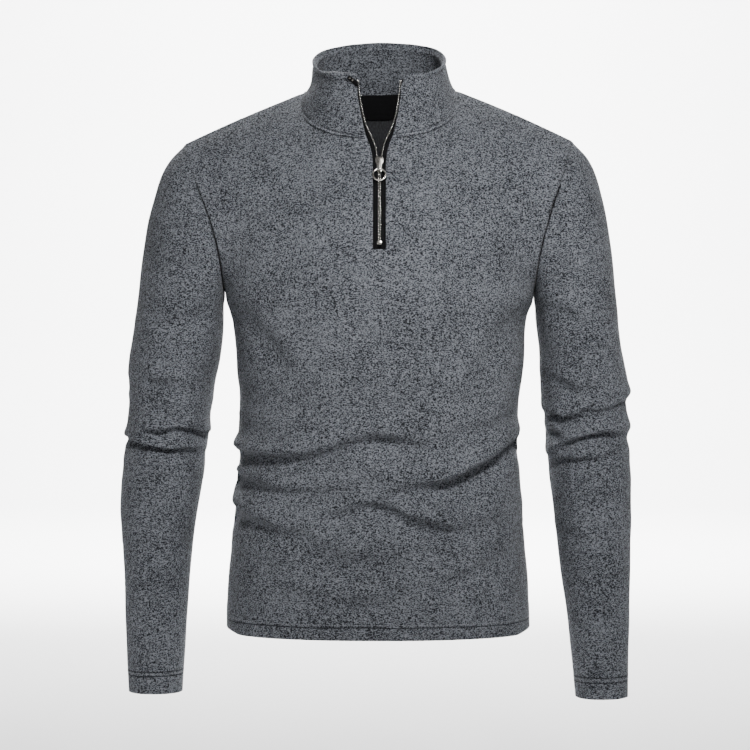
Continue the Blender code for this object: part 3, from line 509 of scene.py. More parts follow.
def soft_step(value: Array) -> Array:
    """Smooth step of values between 0 and 1."""
    value = np.clip(value, 0.0, 1.0)
    return value * value * (3.0 - 2.0 * value)


def bell(value: Array, width: float = 1.0) -> Array:
    """1 at zero, falling off on both sides over the width."""
    return np.exp(-((value / width) ** 2))


def unit(rows: Array) -> Array:
    """Rows scaled to length one."""
    return rows / np.maximum(np.linalg.norm(rows, axis=-1, keepdims=True), 1e-12)


def evened(rows: Array, rounds: int) -> Array:
    """Rows evened out between their neighbours, the two ends kept."""
    for _ in range(rounds):
        rows[1:-1] = rows[1:-1] * 0.5 + (rows[:-2] + rows[2:]) * 0.25
    return rows


def lengths(path: Array) -> Array:
    """The way along a path up to each of its points."""
    return np.concatenate([[0.0], np.cumsum(np.linalg.norm(np.diff(path, axis=0), axis=1))])


def between(at: object, along: Array, rows: Array) -> Array:
    """Rows read at one or more ways along a path."""
    return np.stack([np.interp(at, along, column) for column in rows.T], -1)


def slab_faces(rows: int, columns: int, crossed: bool = False) -> list[tuple[int, ...]]:
    """Faces of a closed slab from two sheets of points, the upper one first.

    Args:
        rows: how many rows a sheet has.
        columns: how many points a row has.
        crossed: whether the lower sheet's faces split along the other diagonal.

    Returns:
        The faces.
    """
    size, faces = rows * columns, []
    for row, column in itertools.product(range(rows - 1), range(columns - 1)):
        a = row * columns + column
        quad = (a, a + 1, a + columns + 1, a + columns)
        lower = quad[::-1] if crossed else quad[:1] + quad[:0:-1]
        faces += [quad, tuple(i + size for i in lower)]
    for row, column in itertools.product(range(rows - 1), (0, columns - 1)):
        a = row * columns + column
        faces.append((a, a + columns, a + columns + size, a + size))
    for row, column in itertools.product((0, rows - 1), range(columns - 1)):
        a = row * columns + column
        faces.append((a, a + size, a + 1 + size, a + 1))
    return faces


def tube_faces(rings: int, sides: int) -> list[tuple[int, ...]]:
    """Faces of a closed tube from its rings of points."""
    faces = [
        (a + i, a + (i + 1) % sides, a + sides + (i + 1) % sides, a + sides + i)
        for a in range(0, (rings - 1) * sides, sides) for i in range(sides)
    ]
    last = (rings - 1) * sides
    return faces + [tuple(range(sides))[::-1], tuple(range(last, last + sides))]


def object_from(name: str, points: Sequence, faces: Sequence, material: Material) -> Obj:
    """A new smooth mesh object with outward faces."""
    mesh = bpy.data.meshes.new(name)
    mesh.from_pydata([tuple(p) for p in points], [], faces)
    mesh.materials.append(material)
    obj = bpy.data.objects.new(name, mesh)
    bpy.context.scene.collection.objects.link(obj)
    whole_mesh(obj, lambda: bpy.ops.mesh.normals_make_consistent(inside=False))
    bpy.ops.object.shade_smooth()
    return obj


def copy_of_node(node: str, name: str, materials: Sequence[Material]) -> Obj:
    """A merged copy of a CAD node's mesh, its triangles joined into quads.

    Args:
        node: the CAD node's name.
        name: the new object's name.
        materials: its material slots.

    Returns:
        The new object, at the origin.
    """
    mesh = bpy.data.objects[node].data.copy()
    mesh.name = name
    mesh.materials.clear()
    for material in materials:
        mesh.materials.append(material)
    obj = bpy.data.objects.new(name, mesh)
    bpy.context.scene.collection.objects.link(obj)
    whole_mesh(
        obj,
        lambda: bpy.ops.mesh.remove_doubles(threshold=0.00001),
        lambda: bpy.ops.mesh.tris_convert_to_quads(
            face_threshold=QUAD_ANGLE, shape_threshold=QUAD_ANGLE
        ),
    )
    if mesh.has_custom_normals:
        bpy.ops.mesh.customdata_custom_splitnormals_clear()
    for layer in list(mesh.uv_layers):
        mesh.uv_layers.remove(layer)
    return obj


def crease_sharp(obj: Obj, corners: Sequence[Vector]) -> None:
    """Creases sharp edges and pins corners, so subdivision keeps them.

    Args:
        obj: the mesh object.
        corners: points where seams of several pieces meet.
    """
    shape = bmesh.new()
    shape.from_mesh(obj.data)
    layers = shape.edges.layers.float, shape.verts.layers.float
    edges, pins = (
        layer.get(name) or layer.new(name)
        for layer, name in zip(layers, ("crease_edge", "crease_vert"))
    )
    for edge in shape.edges:
        if len(edge.link_faces) == 2 and edge.calc_face_angle(0.0) > SHARP:
            edge[edges] = 1.0
    for vert in shape.verts:
        long = [e for e in vert.link_edges if e[edges] > 0 and e.calc_length() > SHORT]
        ways = [(e.other_vert(vert).co - vert.co).normalized() for e in long]
        turns = len(ways) == 2 and ways[0].dot(ways[1]) > -0.72
        if turns or any((vert.co - corner).length < SHORT for corner in corners):
            vert[pins] = 1.0
    shape.to_mesh(obj.data)
    shape.free()


def hand_over(obj: Obj, node: Optional[str] = None,
              body: str = GARMENT) -> None:
    """Puts a finished piece on its body.

    Args:
        obj: the piece.
        node: the CAD node it stands for, if there is one.
        body: the body that it rides on.
    """
    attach(obj, body)
    if node:
        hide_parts(node)
    LOG.info("%s: %d faces", obj.name, len(obj.data.polygons))


# ---- cloth

RIDGE = 0.75            # a crease's ridge is this high against its trough's depth
RIDGE_AWAY = 1.8        # and this many half widths above the trough
SEAM_DEPTH, SEAM_WIDTH = 0.0010, 0.0042


@dataclass(frozen=True)
class Crease:
    """A soft trough with a ridge above it, along a curve seen from one side.

    Attributes:
        face: the side it is pressed into.
        line: x and z of each point that it runs through.
        depth: how far the trough goes in.
        width: the trough's half width.
        sag: how far the ridge hangs over the trough, against the depth.
    """

    face: Face
    line: tuple[float, ...]
    depth: float
    width: float
    sag: float

    def samples(self) -> Array:
        """Points along the curve, a little uneven as a hand-pressed fold is."""
        corners = np.array(self.line).reshape(-1, 2)
        along = lengths(corners)
        t = np.linspace(0.0, 1.0, 48)
        line = evened(between(t, along / along[-1], corners), 8)
        line[:, 1] += 0.0010 * np.sin(t * 9.0 + corners[0, 0] * 60.0)
        line[:, 1] += 0.0006 * np.sin(t * 21.0 + corners[0, 1] * 80.0)
        return line

    def press(self, points: Array, middle: Array) -> tuple[Array, Array]:
        """What the crease does to the points.

        Args:
            points: rows of x, y, z.
            middle: the y of the piece's middle at each point.

        Returns:
            How far each point moves outwards, and how far its ridge hangs down.
        """
        line = self.samples()
        apart = points[:, None, [0, 2]] - line[None]
        distance = np.linalg.norm(apart, axis=-1)
        nearest = distance.argmin(axis=1)
        rows = np.arange(len(points))
        share = nearest / (len(line) - 1)
        wide = self.width * (1.0 + 0.5 * soft_step((share - 0.6) / 0.4))
        signed = np.sign(apart[rows, nearest, 1]) * distance[rows, nearest] / wide
        fade = np.sin(np.pi * (0.10 + 0.86 * share)) ** 0.6
        fade *= 0.82 + 0.18 * np.sin(share * 7.0 + self.line[0] * 90.0)
        ridge = bell(signed - RIDGE_AWAY)
        facing = soft_step(0.5 + self.face.value * (points[:, 1] - middle) / 0.04)
        amount = self.depth * fade * facing
        return amount * (RIDGE * ridge - bell(signed)), amount * self.sag * ridge


@dataclass
class ClothPiece:
    """A cloth panel on the form of its CAD node, with finer creases pressed in.

    Attributes:
        node: the CAD node it stands for.
        flat: width and length of the cut; not used.
        area: the cut's flat area, if it isn't the whole rectangle; not used.
        creases: the creases beside those of the solid.
        levels: subdivision levels.
    """

    node: str
    finishes: Finishes
    flat: tuple[float, float]
    area: Optional[float]
    creases: Sequence[Crease] = ()
    levels: int = 2
    wrap = 0.0      # the length of the UV map once round, or 0 if it doesn't close

    def outward(self, points: Array) -> Array:
        """Directions away from the piece's own middle line."""
        return unit(points * LEVEL)

    def middle(self, points: Array) -> Array:
        """The y of the piece's middle at each point."""
        return np.zeros(len(points))

    def cloth_map(self, points: Array) -> Array:
        """Metres of cloth across and along, for each point."""
        raise NotImplementedError

    def shape(self, obj: Obj) -> None:
        """Presses the creases into the wall; both faces move alike."""
        points, normals = points_of(obj), normals_of(obj)
        sign = np.where((normals * self.outward(points)).sum(1) < 0, -1.0, 1.0)[:, None]
        height, sag = np.zeros(len(points)), np.zeros(len(points))
        middle = self.middle(points)
        for crease in self.creases:
            rise, hang = crease.press(points, middle)
            height += rise
            sag += hang
        height += self.ease(points)
        free = self.free(points)
        moved = points + normals * sign * (height * free - self.seam_dip(points))[:, None]
        moved[:, 2] -= sag * free
        put_points(obj, self.edges(moved))

    def edges(self, points: Array) -> Array:
        """The points with the piece's free edges brought to their shape."""
        return points

    def joined(self, points: Array) -> Array:
        """True for points of sharp edges that are sewn to a neighbour."""
        return np.zeros(len(points), bool)

    def seam_points(self, obj: Obj) -> None:
        """Keeps points along the piece's sewn edges."""
        points = points_of(obj)
        layer = obj.data.attributes["crease_edge"].data
        ends = [edge.vertices[:] for edge in obj.data.edges if layer[edge.index].value > 0]
        share = np.linspace(0.0, 1.0, 6)[:, None, None]
        low, high = (points[list(end)] for end in zip(*ends))
        spots = (low * (1 - share) + high * share).reshape(-1, 3)
        spots = spots[self.joined(spots)]
        self.seam_count = len(spots)
        self.seams = KDTree(len(spots))
        for index, spot in enumerate(spots):
            self.seams.insert(spot, index)
        self.seams.balance()

    def seam_dip(self, points: Array) -> Array:
        """How far the cloth is drawn in along its seams."""
        if not self.seam_count:
            return np.zeros(len(points))
        apart = np.array([self.seams.find(point)[2] for point in points])
        return SEAM_DEPTH * bell(apart, SEAM_WIDTH)

    def ease(self, points: Array) -> Array:
        """Small unevenness of cloth that hangs free, from a few crossing waves."""
        x, y, z = points.T
        slow = np.sin(31.0 * x + 17.0 * z + 2.0 * np.sin(24.0 * y))
        cross = np.sin(23.0 * z - 41.0 * x + 13.0 * y + 1.3)
        fine = np.sin(67.0 * x + 58.0 * z + 31.0 * y) * np.sin(49.0 * z - 37.0 * y)
        return 0.00045 * slow * cross + 0.00022 * fine

    def free(self, points: Array) -> Array:
        """1 where the cloth may move, 0 at its seams."""
        return np.ones(len(points))

    def inner_faces(self, obj: Obj) -> None:
        """Gives the faces that look inwards the inside finish."""
        for polygon in obj.data.polygons:
            away = self.outward(np.array(polygon.center)[None])[0]
            polygon.material_index = int(np.dot(away, polygon.normal) < -0.35)

    def build(self) -> Obj:
        """Returns:
            The finished object.
        """
        both = (self.finishes.knit, self.finishes.inside)
        obj = copy_of_node(self.node, self.node + "_cloth", both)
        self.inner_faces(obj)
        crease_sharp(obj, JOINS)
        self.seam_points(obj)
        subdivide(obj, self.levels)
        self.shape(obj)
        write_uv(obj, self.cloth_map(points_of(obj)), self.wrap)
        take(obj)
        bpy.ops.object.shade_smooth()
        hand_over(obj, self.node)
        return obj


@dataclass
class BodyPanel(ClothPiece):
    """The front or the back."""

    side: Face = Face.FRONT

    def outward(self, points: Array) -> Array:
        """Away from the body's middle line, over the shoulders too."""
        up = np.clip((points[:, 2] + 0.16) / 0.16, 0.0, 1.0) * 1.3
        flat = points[:, :2] / HALF_BODY / HALF_BODY * 0.1
        return unit(np.column_stack([flat, up]))

    def cloth_map(self, points: Array) -> Array:
        """Across by x near the middle and by the way round at the sides."""
        x, y, z = points.T
        across = np.arctan2(x / 0.165, np.abs(y) / 0.105 + 0.02) * 0.150
        across = across if self.side is Face.FRONT else 0.471 - across
        rise = np.clip(z + 0.12, 0.0, None)
        along = z + rise * 0.25 * (1.0 - np.clip(np.abs(y) / 0.1, 0.0, 1.0))
        return np.stack([across, along], -1)

    def joined(self, points: Array) -> Array:
        """All but the hem, the slit's edges and the neck."""
        x, y, z = points.T
        slit = (np.abs(x) < 0.036) & (y < 0.0)
        neck = (np.abs(x) < 0.0905) & (z > -0.06)
        return (z > -0.60) & ~slit & ~neck

    def edges(self, points: Array) -> Array:
        """The slit ends square and low; the hem's corners are rounded off."""
        x, y, z = points.T.copy()
        slit = bell(z + 0.181, 0.013) * np.exp(-((x / 0.022) ** 4))
        points[:, 2] -= 0.0052 * slit * (y < 0.0)
        corner = soft_step((np.abs(x) - 0.156) / 0.018) * soft_step((-0.608 - z) / 0.024)
        points[:, 2] += 0.0036 * corner
        return fuller(points, BODY_FULL, soft_step((np.abs(x) - 0.085) / 0.07))

    def free(self, points: Array) -> Array:
        """Still at the shoulder, neck and armhole seams, and less so at the hem."""
        _, y, z = points.T
        high = 1.0 - soft_step((z + 0.16) / 0.05)
        rim = soft_step((z + 0.630) / 0.03) * 0.75 + 0.25
        return high * rim * np.where(z < -0.24, 1.0, soft_step(np.abs(y) / 0.012))


@dataclass
class Sleeve(ClothPiece):
    """A set-in sleeve; its map closes at an even girth."""

    side: Side = Side.LEFT
    wrap = 0.270

    def axis_at(self, z: Array) -> Array:
        """x and y of the sleeve's middle line at the heights given."""
        return between(z, SLEEVE_AXIS[:, 0], SLEEVE_AXIS[:, 1:]) * (self.side.value, 1.0)

    def outward(self, points: Array) -> Array:
        """Away from the sleeve's middle line, and up at its head."""
        flat = points[:, :2] - self.axis_at(points[:, 2])
        flat[:, 0] += self.side.value * 0.02 * np.clip((points[:, 2] + 0.2) / 0.1, 0.0, 1.0)
        up = np.clip((points[:, 2] + 0.14) / 0.08, 0.0, 1.0) * 0.05
        return unit(np.column_stack([flat, up]))

    def middle(self, points: Array) -> Array:
        """The y of the sleeve's middle line."""
        return self.axis_at(points[:, 2])[:, 1]

    def cloth_map(self, points: Array) -> Array:
        """The way round and the way down."""
        flat = points[:, :2] - self.axis_at(points[:, 2])
        turn = np.arctan2(flat[:, 0] * self.side.value, -flat[:, 1])
        return np.stack([turn * self.wrap / (2 * math.pi), points[:, 2]], -1)

    def joined(self, points: Array) -> Array:
        """All but the cuff."""
        return points[:, 2] > -0.60

    def edges(self, points: Array) -> Array:
        """The sleeve a little fuller on its outer side."""
        out = points[:, 0] * self.side.value - np.abs(self.axis_at(points[:, 2])[:, 0])
        return fuller(points, SLEEVE_FULL, soft_step((out + 0.008) / 0.030))

    def free(self, points: Array) -> Array:
        """Still at the armhole."""
        x, _, z = points.T
        inner = 0.2255 - 0.25 * np.clip(-0.06 - z, 0.0, 0.176)
        return np.where(z > -0.245, soft_step((np.abs(x) - inner - 0.004) / 0.02), 1.0)


@dataclass
class Collar(ClothPiece):
    """The stand collar, the same cloth on both faces; its neck seam isn't drawn in."""

    def cloth_map(self, points: Array) -> Array:
        """The way round and the way up."""
        turn = np.arctan2(points[:, 0], points[:, 1])
        return np.stack([turn * 0.076, points[:, 2] * 1.15], -1)

    def inner_faces(self, obj: Obj) -> None:
        """Both faces are heather."""
        for polygon in obj.data.polygons:
            polygon.material_index = 0

    def ease(self, points: Array) -> Array:
        """Soft puckers beside the zip and a little wave along the rim."""
        x, y, z = points.T
        front = soft_step((-y - 0.01) / 0.04)
        rim = soft_step((z + 0.045) / 0.05)
        stronger = np.where(x > 0, 1.5, 0.8)
        pucker = np.sin(190.0 * z + 40.0 * x) * bell(np.abs(x) - 0.048, 0.02)
        wave = np.sin(46.0 * x + 30.0 * y)
        lean = front * soft_step((0.068 + x) / 0.02) * soft_step((-x - 0.018) / 0.02)
        high = np.clip((z + 0.055) / 0.065, 0.0, 1.0)
        lean = lean * (0.0036 * high - 0.0022 * np.sin(math.pi * high))
        small = 0.0009 * pucker * front * rim * stronger + 0.0004 * wave * rim
        slim = bell(z - 0.010, 0.014) * soft_step((np.abs(x) - 0.062) / 0.02)
        slim = slim * np.where(x < 0, 0.0040, 0.0008)
        return small + lean - slim + self.roll(points)

    def roll(self, points: Array) -> Array:
        """The turned rim, a little fuller than the cloth below it."""
        turn = np.arctan2(points[:, 0], points[:, 1])
        bins = np.linspace(-math.pi, math.pi, 73)
        which = np.digitize(turn, bins) - 1
        known = np.unique(which[which < 72])
        tops = [points[which == i, 2].max() for i in known]
        centres = (bins[1:] + bins[:-1]) / 2
        below = np.interp(turn, centres[known], tops) - points[:, 2]
        return 0.0014 * bell(below - 0.0028, 0.0026) - 0.0013 * bell(below - 0.0078, 0.0026)


HALF_BODY = np.array([0.17, 0.10])      # half width and half depth
# The middle line of the sleeve: z, x on the wearer's left, y, from the cuff up.
SLEEVE_AXIS = np.array((
    (-0.709, 0.2605, -0.027), (-0.620, 0.2575, -0.018), (-0.505, 0.2515, -0.004),
    (-0.400, 0.2445, 0.008), (-0.300, 0.236, 0.006), (-0.200, 0.232, 0.002),
    (-0.120, 0.225, 0.000), (-0.050, 0.205, 0.000),
))
# Where seams of three pieces meet: both shoulder points, underarms and neck points.
JOINS = [
    Vector(place)
    for place in (
        (0.2255, 0.0, -0.0572), (-0.2255, 0.0, -0.0608), (0.182, 0.0, -0.236),
        (-0.182, 0.0, -0.236), (0.091, 0.015, 0.0035), (-0.091, 0.015, 0.0005),
    )
]


def folds(face: Face, *rows: tuple) -> tuple[Crease, ...]:
    """Creases on one face, each from its depth, half width, sag and the x, z of its points.

    Args:
        face: the face that they are pressed into.
        rows: the numbers of each crease, in millimetres but for the sag.

    Returns:
        The creases.
    """
    return tuple(
        Crease(face, tuple(place / 1000 for place in line), depth / 1000, width / 1000, sag)
        for depth, width, sag, *line in rows
    )


BODY_CREASES = folds(
    Face.FRONT,
    # waist, wearer's right
    (11.1, 9.6, 0.6, -200, -424, -159, -426.7, -119, -428, -84, -428, -48, -418, -5, -409.6, 18,
     -406),
    (7.9, 9.6, 0.6, -198, -449, -159, -455, -134, -463, -82, -469, -39, -463, -10, -460),
    (8, 10.2, 0.6, -200, -487, -162, -495, -134, -507, -90, -518, -50, -528),
    (6.6, 9.1, 0.6, -62, -500, -36, -489, -16, -484, 12, -486),
    (5.2, 9, 0.6, -195, -388, -159, -392.5, -118, -402),
    # waist, wearer's left
    (10.8, 9.6, 0.6, 192, -400, 156, -415, 130, -435, 87, -454, 18, -466, -12, -462),
    (8.4, 9.9, 0.6, -10, -486, 8, -490, 44, -504, 87, -509.5, 150, -507),
    (4.5, 8.5, 0.6, -12, -404, 12, -408, 50, -412),
    (4.7, 9.6, 0.6, 90, -398, 126, -394, 170, -376),
    # from the underarms, and above the hem
    (4.9, 12, 0.6, -162, -262, -125, -300, -100, -345),
    (4.9, 12, 0.6, 164, -262, 130, -296, 112, -336),
    (4.9, 10.3, 0.6, 50, -575, 105, -566, 150, -548),
    (6.6, 12.5, 0.6, -120, -584, -80, -592, -20, -596, 40, -590),
    # broad soft swells between the folds
    (4, 20, 0.6, -180, -362, -110, -372, -40, -368, 30, -372),
    (3.6, 19, 0.6, 170, -350, 110, -362, 50, -376),
    (5.5, 18, 0.6, -170, -545, -100, -560, -20, -556, 60, -540),
    (3.4, 17, 0.6, 170, -540, 120, -545, 60, -538),
    (2.6, 22, 0.6, -90, -150, -110, -200, -105, -260),
    (2.6, 22, 0.6, 85, -150, 108, -205, 100, -262),
) + folds(
    # the hidden back: the same kinds of fold
    Face.BACK,
    (10.1, 10.2, 0.6, -200, -424, -150, -436, -80, -452, 20, -440),
    (10.1, 10.2, 0.6, 192, -400, 150, -430, 90, -461, 0, -474),
    (7.6, 10.8, 0.6, -198, -480, -90, -505, 10, -501),
    (7.1, 10.8, 0.6, 180, -494, 105, -528, 20, -535),
    (5.1, 13, 0.6, -155, -250, -105, -285, -60, -322),
    (5.1, 13, 0.6, 155, -250, 105, -285, 60, -322),
    (4, 20, 0.6, -170, -380, -100, -395, 0, -392, 90, -385),
    (3.6, 18, 0.6, 160, -560, 80, -572, -20, -568),
)
SLEEVE_CREASES = {
    Side.LEFT: folds(
        Face.FRONT,
        (5.2, 5.2, 0.9, 188, -378, 195.5, -381, 212, -383, 227, -382, 240, -379),
        (7.2, 5.4, 1, 198, -431, 204.8, -427, 218.6, -414, 230, -406, 242, -403, 261.4, -398, 287,
         -404, 300, -408),
        (4.8, 5.2, 0.9, 198, -441, 218.6, -433, 232.5, -430.5, 251, -431.6, 272, -432),
        (4.6, 5, 0.9, 240, -376, 265, -371.5, 276.5, -367, 302, -358),
        (4, 5, 0.6, 190, -396, 207, -401.6, 219, -406.6),
        (2.6, 8, 0.6, 215, -520, 245, -528, 280, -522),
        (3, 7.5, 0.6, 196, -335, 222, -352, 262, -350),
        (3.4, 9.5, 0.6, 190, -252, 222, -268, 258, -272),
    ) + folds(
        Face.BACK,
        (5.6, 5.8, 0.6, 200, -373, 245, -384, 300, -366),
        (5.6, 5.8, 0.6, 204, -425, 250, -412, 298, -410),
        (3.4, 9.5, 0.6, 190, -250, 225, -266, 262, -270),
    ),
    Side.RIGHT: folds(
        Face.FRONT,
        (6.6, 5.2, 1.1, -268, -398.5, -247.6, -395.2, -228, -395.7, -210.6, -400.4, -198, -409),
        (7.4, 5.4, 1.1, -305, -407, -295, -409.6, -279, -411.9, -261.5, -413.9, -236, -418.9,
         -210.6, -425.8, -200, -431),
        (2.4, 3.6, 0.6, -272, -354, -251, -372.6, -230, -389),
        (2.2, 3.6, 0.6, -262, -350, -240.6, -370.6, -216, -393),
        (3.4, 7, 0.6, -275, -334.5, -251, -345, -226, -350),
        (3.2, 6.6, 0.6, -298, -444, -262, -449, -226, -455),
        (2.6, 8, 0.6, -286, -530, -256, -536, -228, -528),
        (3.4, 9.5, 0.6, -258, -274, -222, -270, -190, -254),
    ) + folds(
        Face.BACK,
        (5.6, 5.8, 0.6, -300, -365, -250, -380, -208, -373),
        (5.8, 5.8, 0.6, -304, -409, -255, -418, -206, -424),
        (3.4, 9.5, 0.6, -262, -270, -225, -266, -190, -250),
    ),
}
# How much fuller the dressed cloth is than its solid at the sides: height and amount by turns,
# in millimetres.
BODY_FULL = {
    Side.LEFT: (-260, 0, -300, 2.4, -335, 2.6, -365, 0.5, -400, 0, -420, 2.4, -460, 2.2, -500, 1,
                -550, 0.4, -600, 1, -637, 2),
    Side.RIGHT: (-340, 0, -365, 0.8, -393, 3, -421, 3.6, -450, 4.4, -478, 4.6, -495, 5.2,
                 -520, 3.6, -549, 3.6, -577, 3.2, -605, 4.2, -637, 4.2),
}
SLEEVE_FULL = {
    Side.LEFT: (-120, 0, -150, 1, -190, 1.8, -260, 2.6, -300, 2.8, -322, 4, -352, 6.4, -375, 3.4,
                -400, 4.4, -430, 3.6, -470, 3.4, -550, 3, -600, 2.2, -700, 2.4),
    Side.RIGHT: (-120, 0, -150, 1.2, -260, 1, -308, 3.2, -330, 3, -350, 1.2, -375, 2, -393, 3.2,
                 -415, 5.6, -435, 2.4, -450, 2.4, -464, 3.4, -492, 3.2, -520, 1.6, -560, 2,
                 -700, 2.2),
}
SHOULDER_FULL = {Side.LEFT: 2.8, Side.RIGHT: 4.2}


def fuller(points: Array, tables: dict, weight: Array) -> Array:
    """The points moved away from the middle at both sides.

    Args:
        points: rows of x, y, z.
        tables: for each side, heights and amounts.
        weight: how much of it each point takes.

    Returns:
        The moved points, the shoulders too, alike for all pieces.
    """
    x, z = points[:, 0].copy(), points[:, 2].copy()
    top = bell(np.abs(x) - 0.225, 0.055) * bell(z + 0.078, 0.050)
    for side in Side:
        rows = np.array(tables[side]).reshape(-1, 2)[::-1]
        amount = np.interp(z, rows[:, 0] / 1000, rows[:, 1]) * weight + SHOULDER_FULL[side] * top
        points[:, 0] += np.where(x * side.value > 0, side.value * amount * 0.001, 0.0)
    return points


@dataclass
class Shell:
    """All the cloth pieces."""

    finishes: Finishes
    pieces: dict[str, Obj] = field(default_factory=dict)
    sleeves: dict[Side, Sleeve] = field(default_factory=dict)

    def build(self) -> None:
        """Builds front, back, sleeves and collar."""
        done = self.finishes
        self.sleeves = {
            side: Sleeve(f"sleeve_{side.word}", done, (0.400, 0.640), 0.178,
                         SLEEVE_CREASES[side], levels=3, side=side)
            for side in Side
        }
        for cloth in (
            BodyPanel("front", done, (0.520, 0.640), 0.288, BODY_CREASES),
            BodyPanel("back", done, (0.520, 0.660), 0.291, BODY_CREASES, side=Face.BACK),
            *self.sleeves.values(),
            Collar("collar", done, (0.432, 0.066), None, levels=3),
        ):
            self.pieces[cloth.node] = cloth.build()


# ---- zip

BACKWARDS = Vector((0.0, 1.0, 0.0))
LINE_ROUNDS = 12                    # how often the zip's line is evened out
TEETH_REACH = (-0.1758, 0.0034)     # heights of the first and the last tooth
TOOTH = (0.0020, 0.00118, 0.0021)
STOP_GROWTH = 1.3                   # the top stops against their solids
# The tape's section: place across from the teeth, and half thickness with the cord.
TAPE_SECTION = (
    (-0.0072, 0.00028), (-0.0066, 0.00062), (-0.0058, 0.00068), (-0.0050, 0.00045),
    (-0.0042, 0.00028), (-0.0020, 0.00026), (0.0010, 0.00026), (0.0040, 0.00026),
    (0.0060, 0.00022),
)


def cuts_at(node: str, heights: Array) -> list[Array]:
    """For each height, the points where a CAD node's edges cross it."""
    points = points_of(bpy.data.objects[node])
    ends = np.array([edge.vertices[:] for edge in bpy.data.objects[node].data.edges])
    cuts = []
    for z in heights:
        low, high = points[ends[:, 0]], points[ends[:, 1]]
        crossing = (low[:, 2] - z) * (high[:, 2] - z) < 0
        low, high = low[crossing], high[crossing]
        cuts.append(low + (high - low) * ((z - low[:, 2]) / (high[:, 2] - low[:, 2]))[:, None])
    return cuts


def middles(cuts: list[Array]) -> Array:
    """The middle of each cut."""
    return np.array([(cut.min(0) + cut.max(0)) / 2 for cut in cuts])


@dataclass
class ZipLine:
    """The way that one half of the zip follows, read off its solids.

    Attributes:
        side: the wearer's side.
        count: how many places are read.
    """

    side: Side
    count: int = 150

    def __post_init__(self) -> None:
        """Reads the line, its outward and its sideways directions."""
        teeth, tape = f"zip_teeth_{self.side.word}", f"zip_tape_{self.side.word}"
        low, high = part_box(tape)
        heights = np.linspace(low.z + 0.0003, high.z - 0.0022, self.count)
        cuts = cuts_at(tape, heights)
        ways = np.array([np.linalg.svd(cut - cut.mean(0))[2][0] for cut in cuts])
        ways *= np.sign(ways[:, :1]) * self.side.value
        self.tape, self.across = evened(middles(cuts), LINE_ROUNDS), unit(evened(ways, LINE_ROUNDS))
        low, high = (corner.z + inward for corner, inward in zip(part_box(teeth), (0.0012, -0.0012)))
        centre = evened(middles(cuts_at(teeth, np.clip(heights, low, high))), LINE_ROUNDS)
        above, below = heights > high, heights < low
        centre[above] = self.tape[above] - (self.tape - centre)[~above][-1]
        centre[below, 2] = heights[below]
        centre[below, 1] = (self.tape - (self.tape - centre)[~below][0])[below, 1]
        self.centre = centre
        self.up = unit(np.gradient(centre, axis=0))
        self.out = unit(np.cross(self.across, self.up)) * self.side.value
        self.length = lengths(centre)

    def at(self, length: float) -> list[Array]:
        """Centre, across, up and out at a length along the line."""
        rows = (self.centre, self.across, self.up, self.out)
        return [between(length, self.length, row) for row in rows]


@dataclass
class ZipHalf:
    """Tape, teeth and stop of one half.

    Attributes:
        line: the way it follows.
        pitch: from tooth to tooth.
        inset: how far the teeth reach over the middle from their strip's centre.
    """

    line: ZipLine
    finishes: Finishes
    pitch: float = 0.00185
    inset: float = 0.00045

    def tape(self) -> Obj:
        """The woven tape with the cord along its inner edge."""
        line = self.line
        spots, half = np.array(TAPE_SECTION).T
        points = [
            line.tape[:, None] + line.across[:, None] * spots[:, None]
            + line.out[:, None] * half[:, None] * sign
            for sign in (1.0, -1.0)
        ]
        name, rows = f"zip_tape_{line.side.word}_woven", len(line.tape)
        faces = slab_faces(rows, len(spots))
        obj = object_from(name, np.reshape(points, (-1, 3)), faces, self.finishes.tape)
        write_uv(obj, np.tile(np.stack(np.meshgrid(spots, line.length), -1).reshape(-1, 2), (2, 1)))
        return obj

    def tooth(self) -> tuple[Array, list]:
        """One tooth: a nosed block that clasps the tape's cord, about its own centre."""
        obj = block("tooth", TOOTH)
        for vert in obj.data.vertices:
            if vert.co.x < 0:
                vert.co.z *= 0.72
                vert.co.y *= 0.86
        round_edges(obj, 0.00026, 1)
        points, faces = points_of(obj), [tuple(face.vertices) for face in obj.data.polygons]
        bpy.data.objects.remove(obj)
        return points, faces

    def teeth(self) -> Obj:
        """All the teeth of this half, each copied from the one tooth."""
        points, faces = self.tooth()
        line = self.line
        first, last = np.interp(TEETH_REACH, line.centre[:, 2], line.length)
        first += self.pitch / 2 if line.side is Side.LEFT else 0.0
        all_points, all_faces = [], []
        for number, length in enumerate(np.arange(first, last, self.pitch)):
            centre, across, up, out = line.at(length)
            all_points.append(centre - across * self.inset + points @ np.array([across, up, out]))
            all_faces += [tuple(i + number * len(points) for i in face) for face in faces]
        name = f"zip_teeth_{line.side.word}_metal"
        LOG.info("%s: %d teeth", name, len(all_points))
        return object_from(name, np.concatenate(all_points), all_faces, self.finishes.teeth)

    def stop(self) -> Obj:
        """The top stop: a small clamped block with rounded edges."""
        node = f"zip_stop_{self.line.side.word}"
        obj = copy_of_node(node, node + "_metal", (self.finishes.nickel,))
        points = points_of(obj)
        middle = points.mean(0)
        put_points(obj, middle + (points - middle) * STOP_GROWTH)
        round_edges(obj, 0.0006, 3)
        bpy.ops.object.shade_smooth_by_angle(angle=math.radians(40))
        return obj

    def build(self) -> None:
        """Builds the half and puts it on the garment."""
        word = self.line.side.word
        hand_over(self.tape(), f"zip_tape_{word}")
        hand_over(self.teeth(), f"zip_teeth_{word}")
        hand_over(self.stop(), f"zip_stop_{word}")


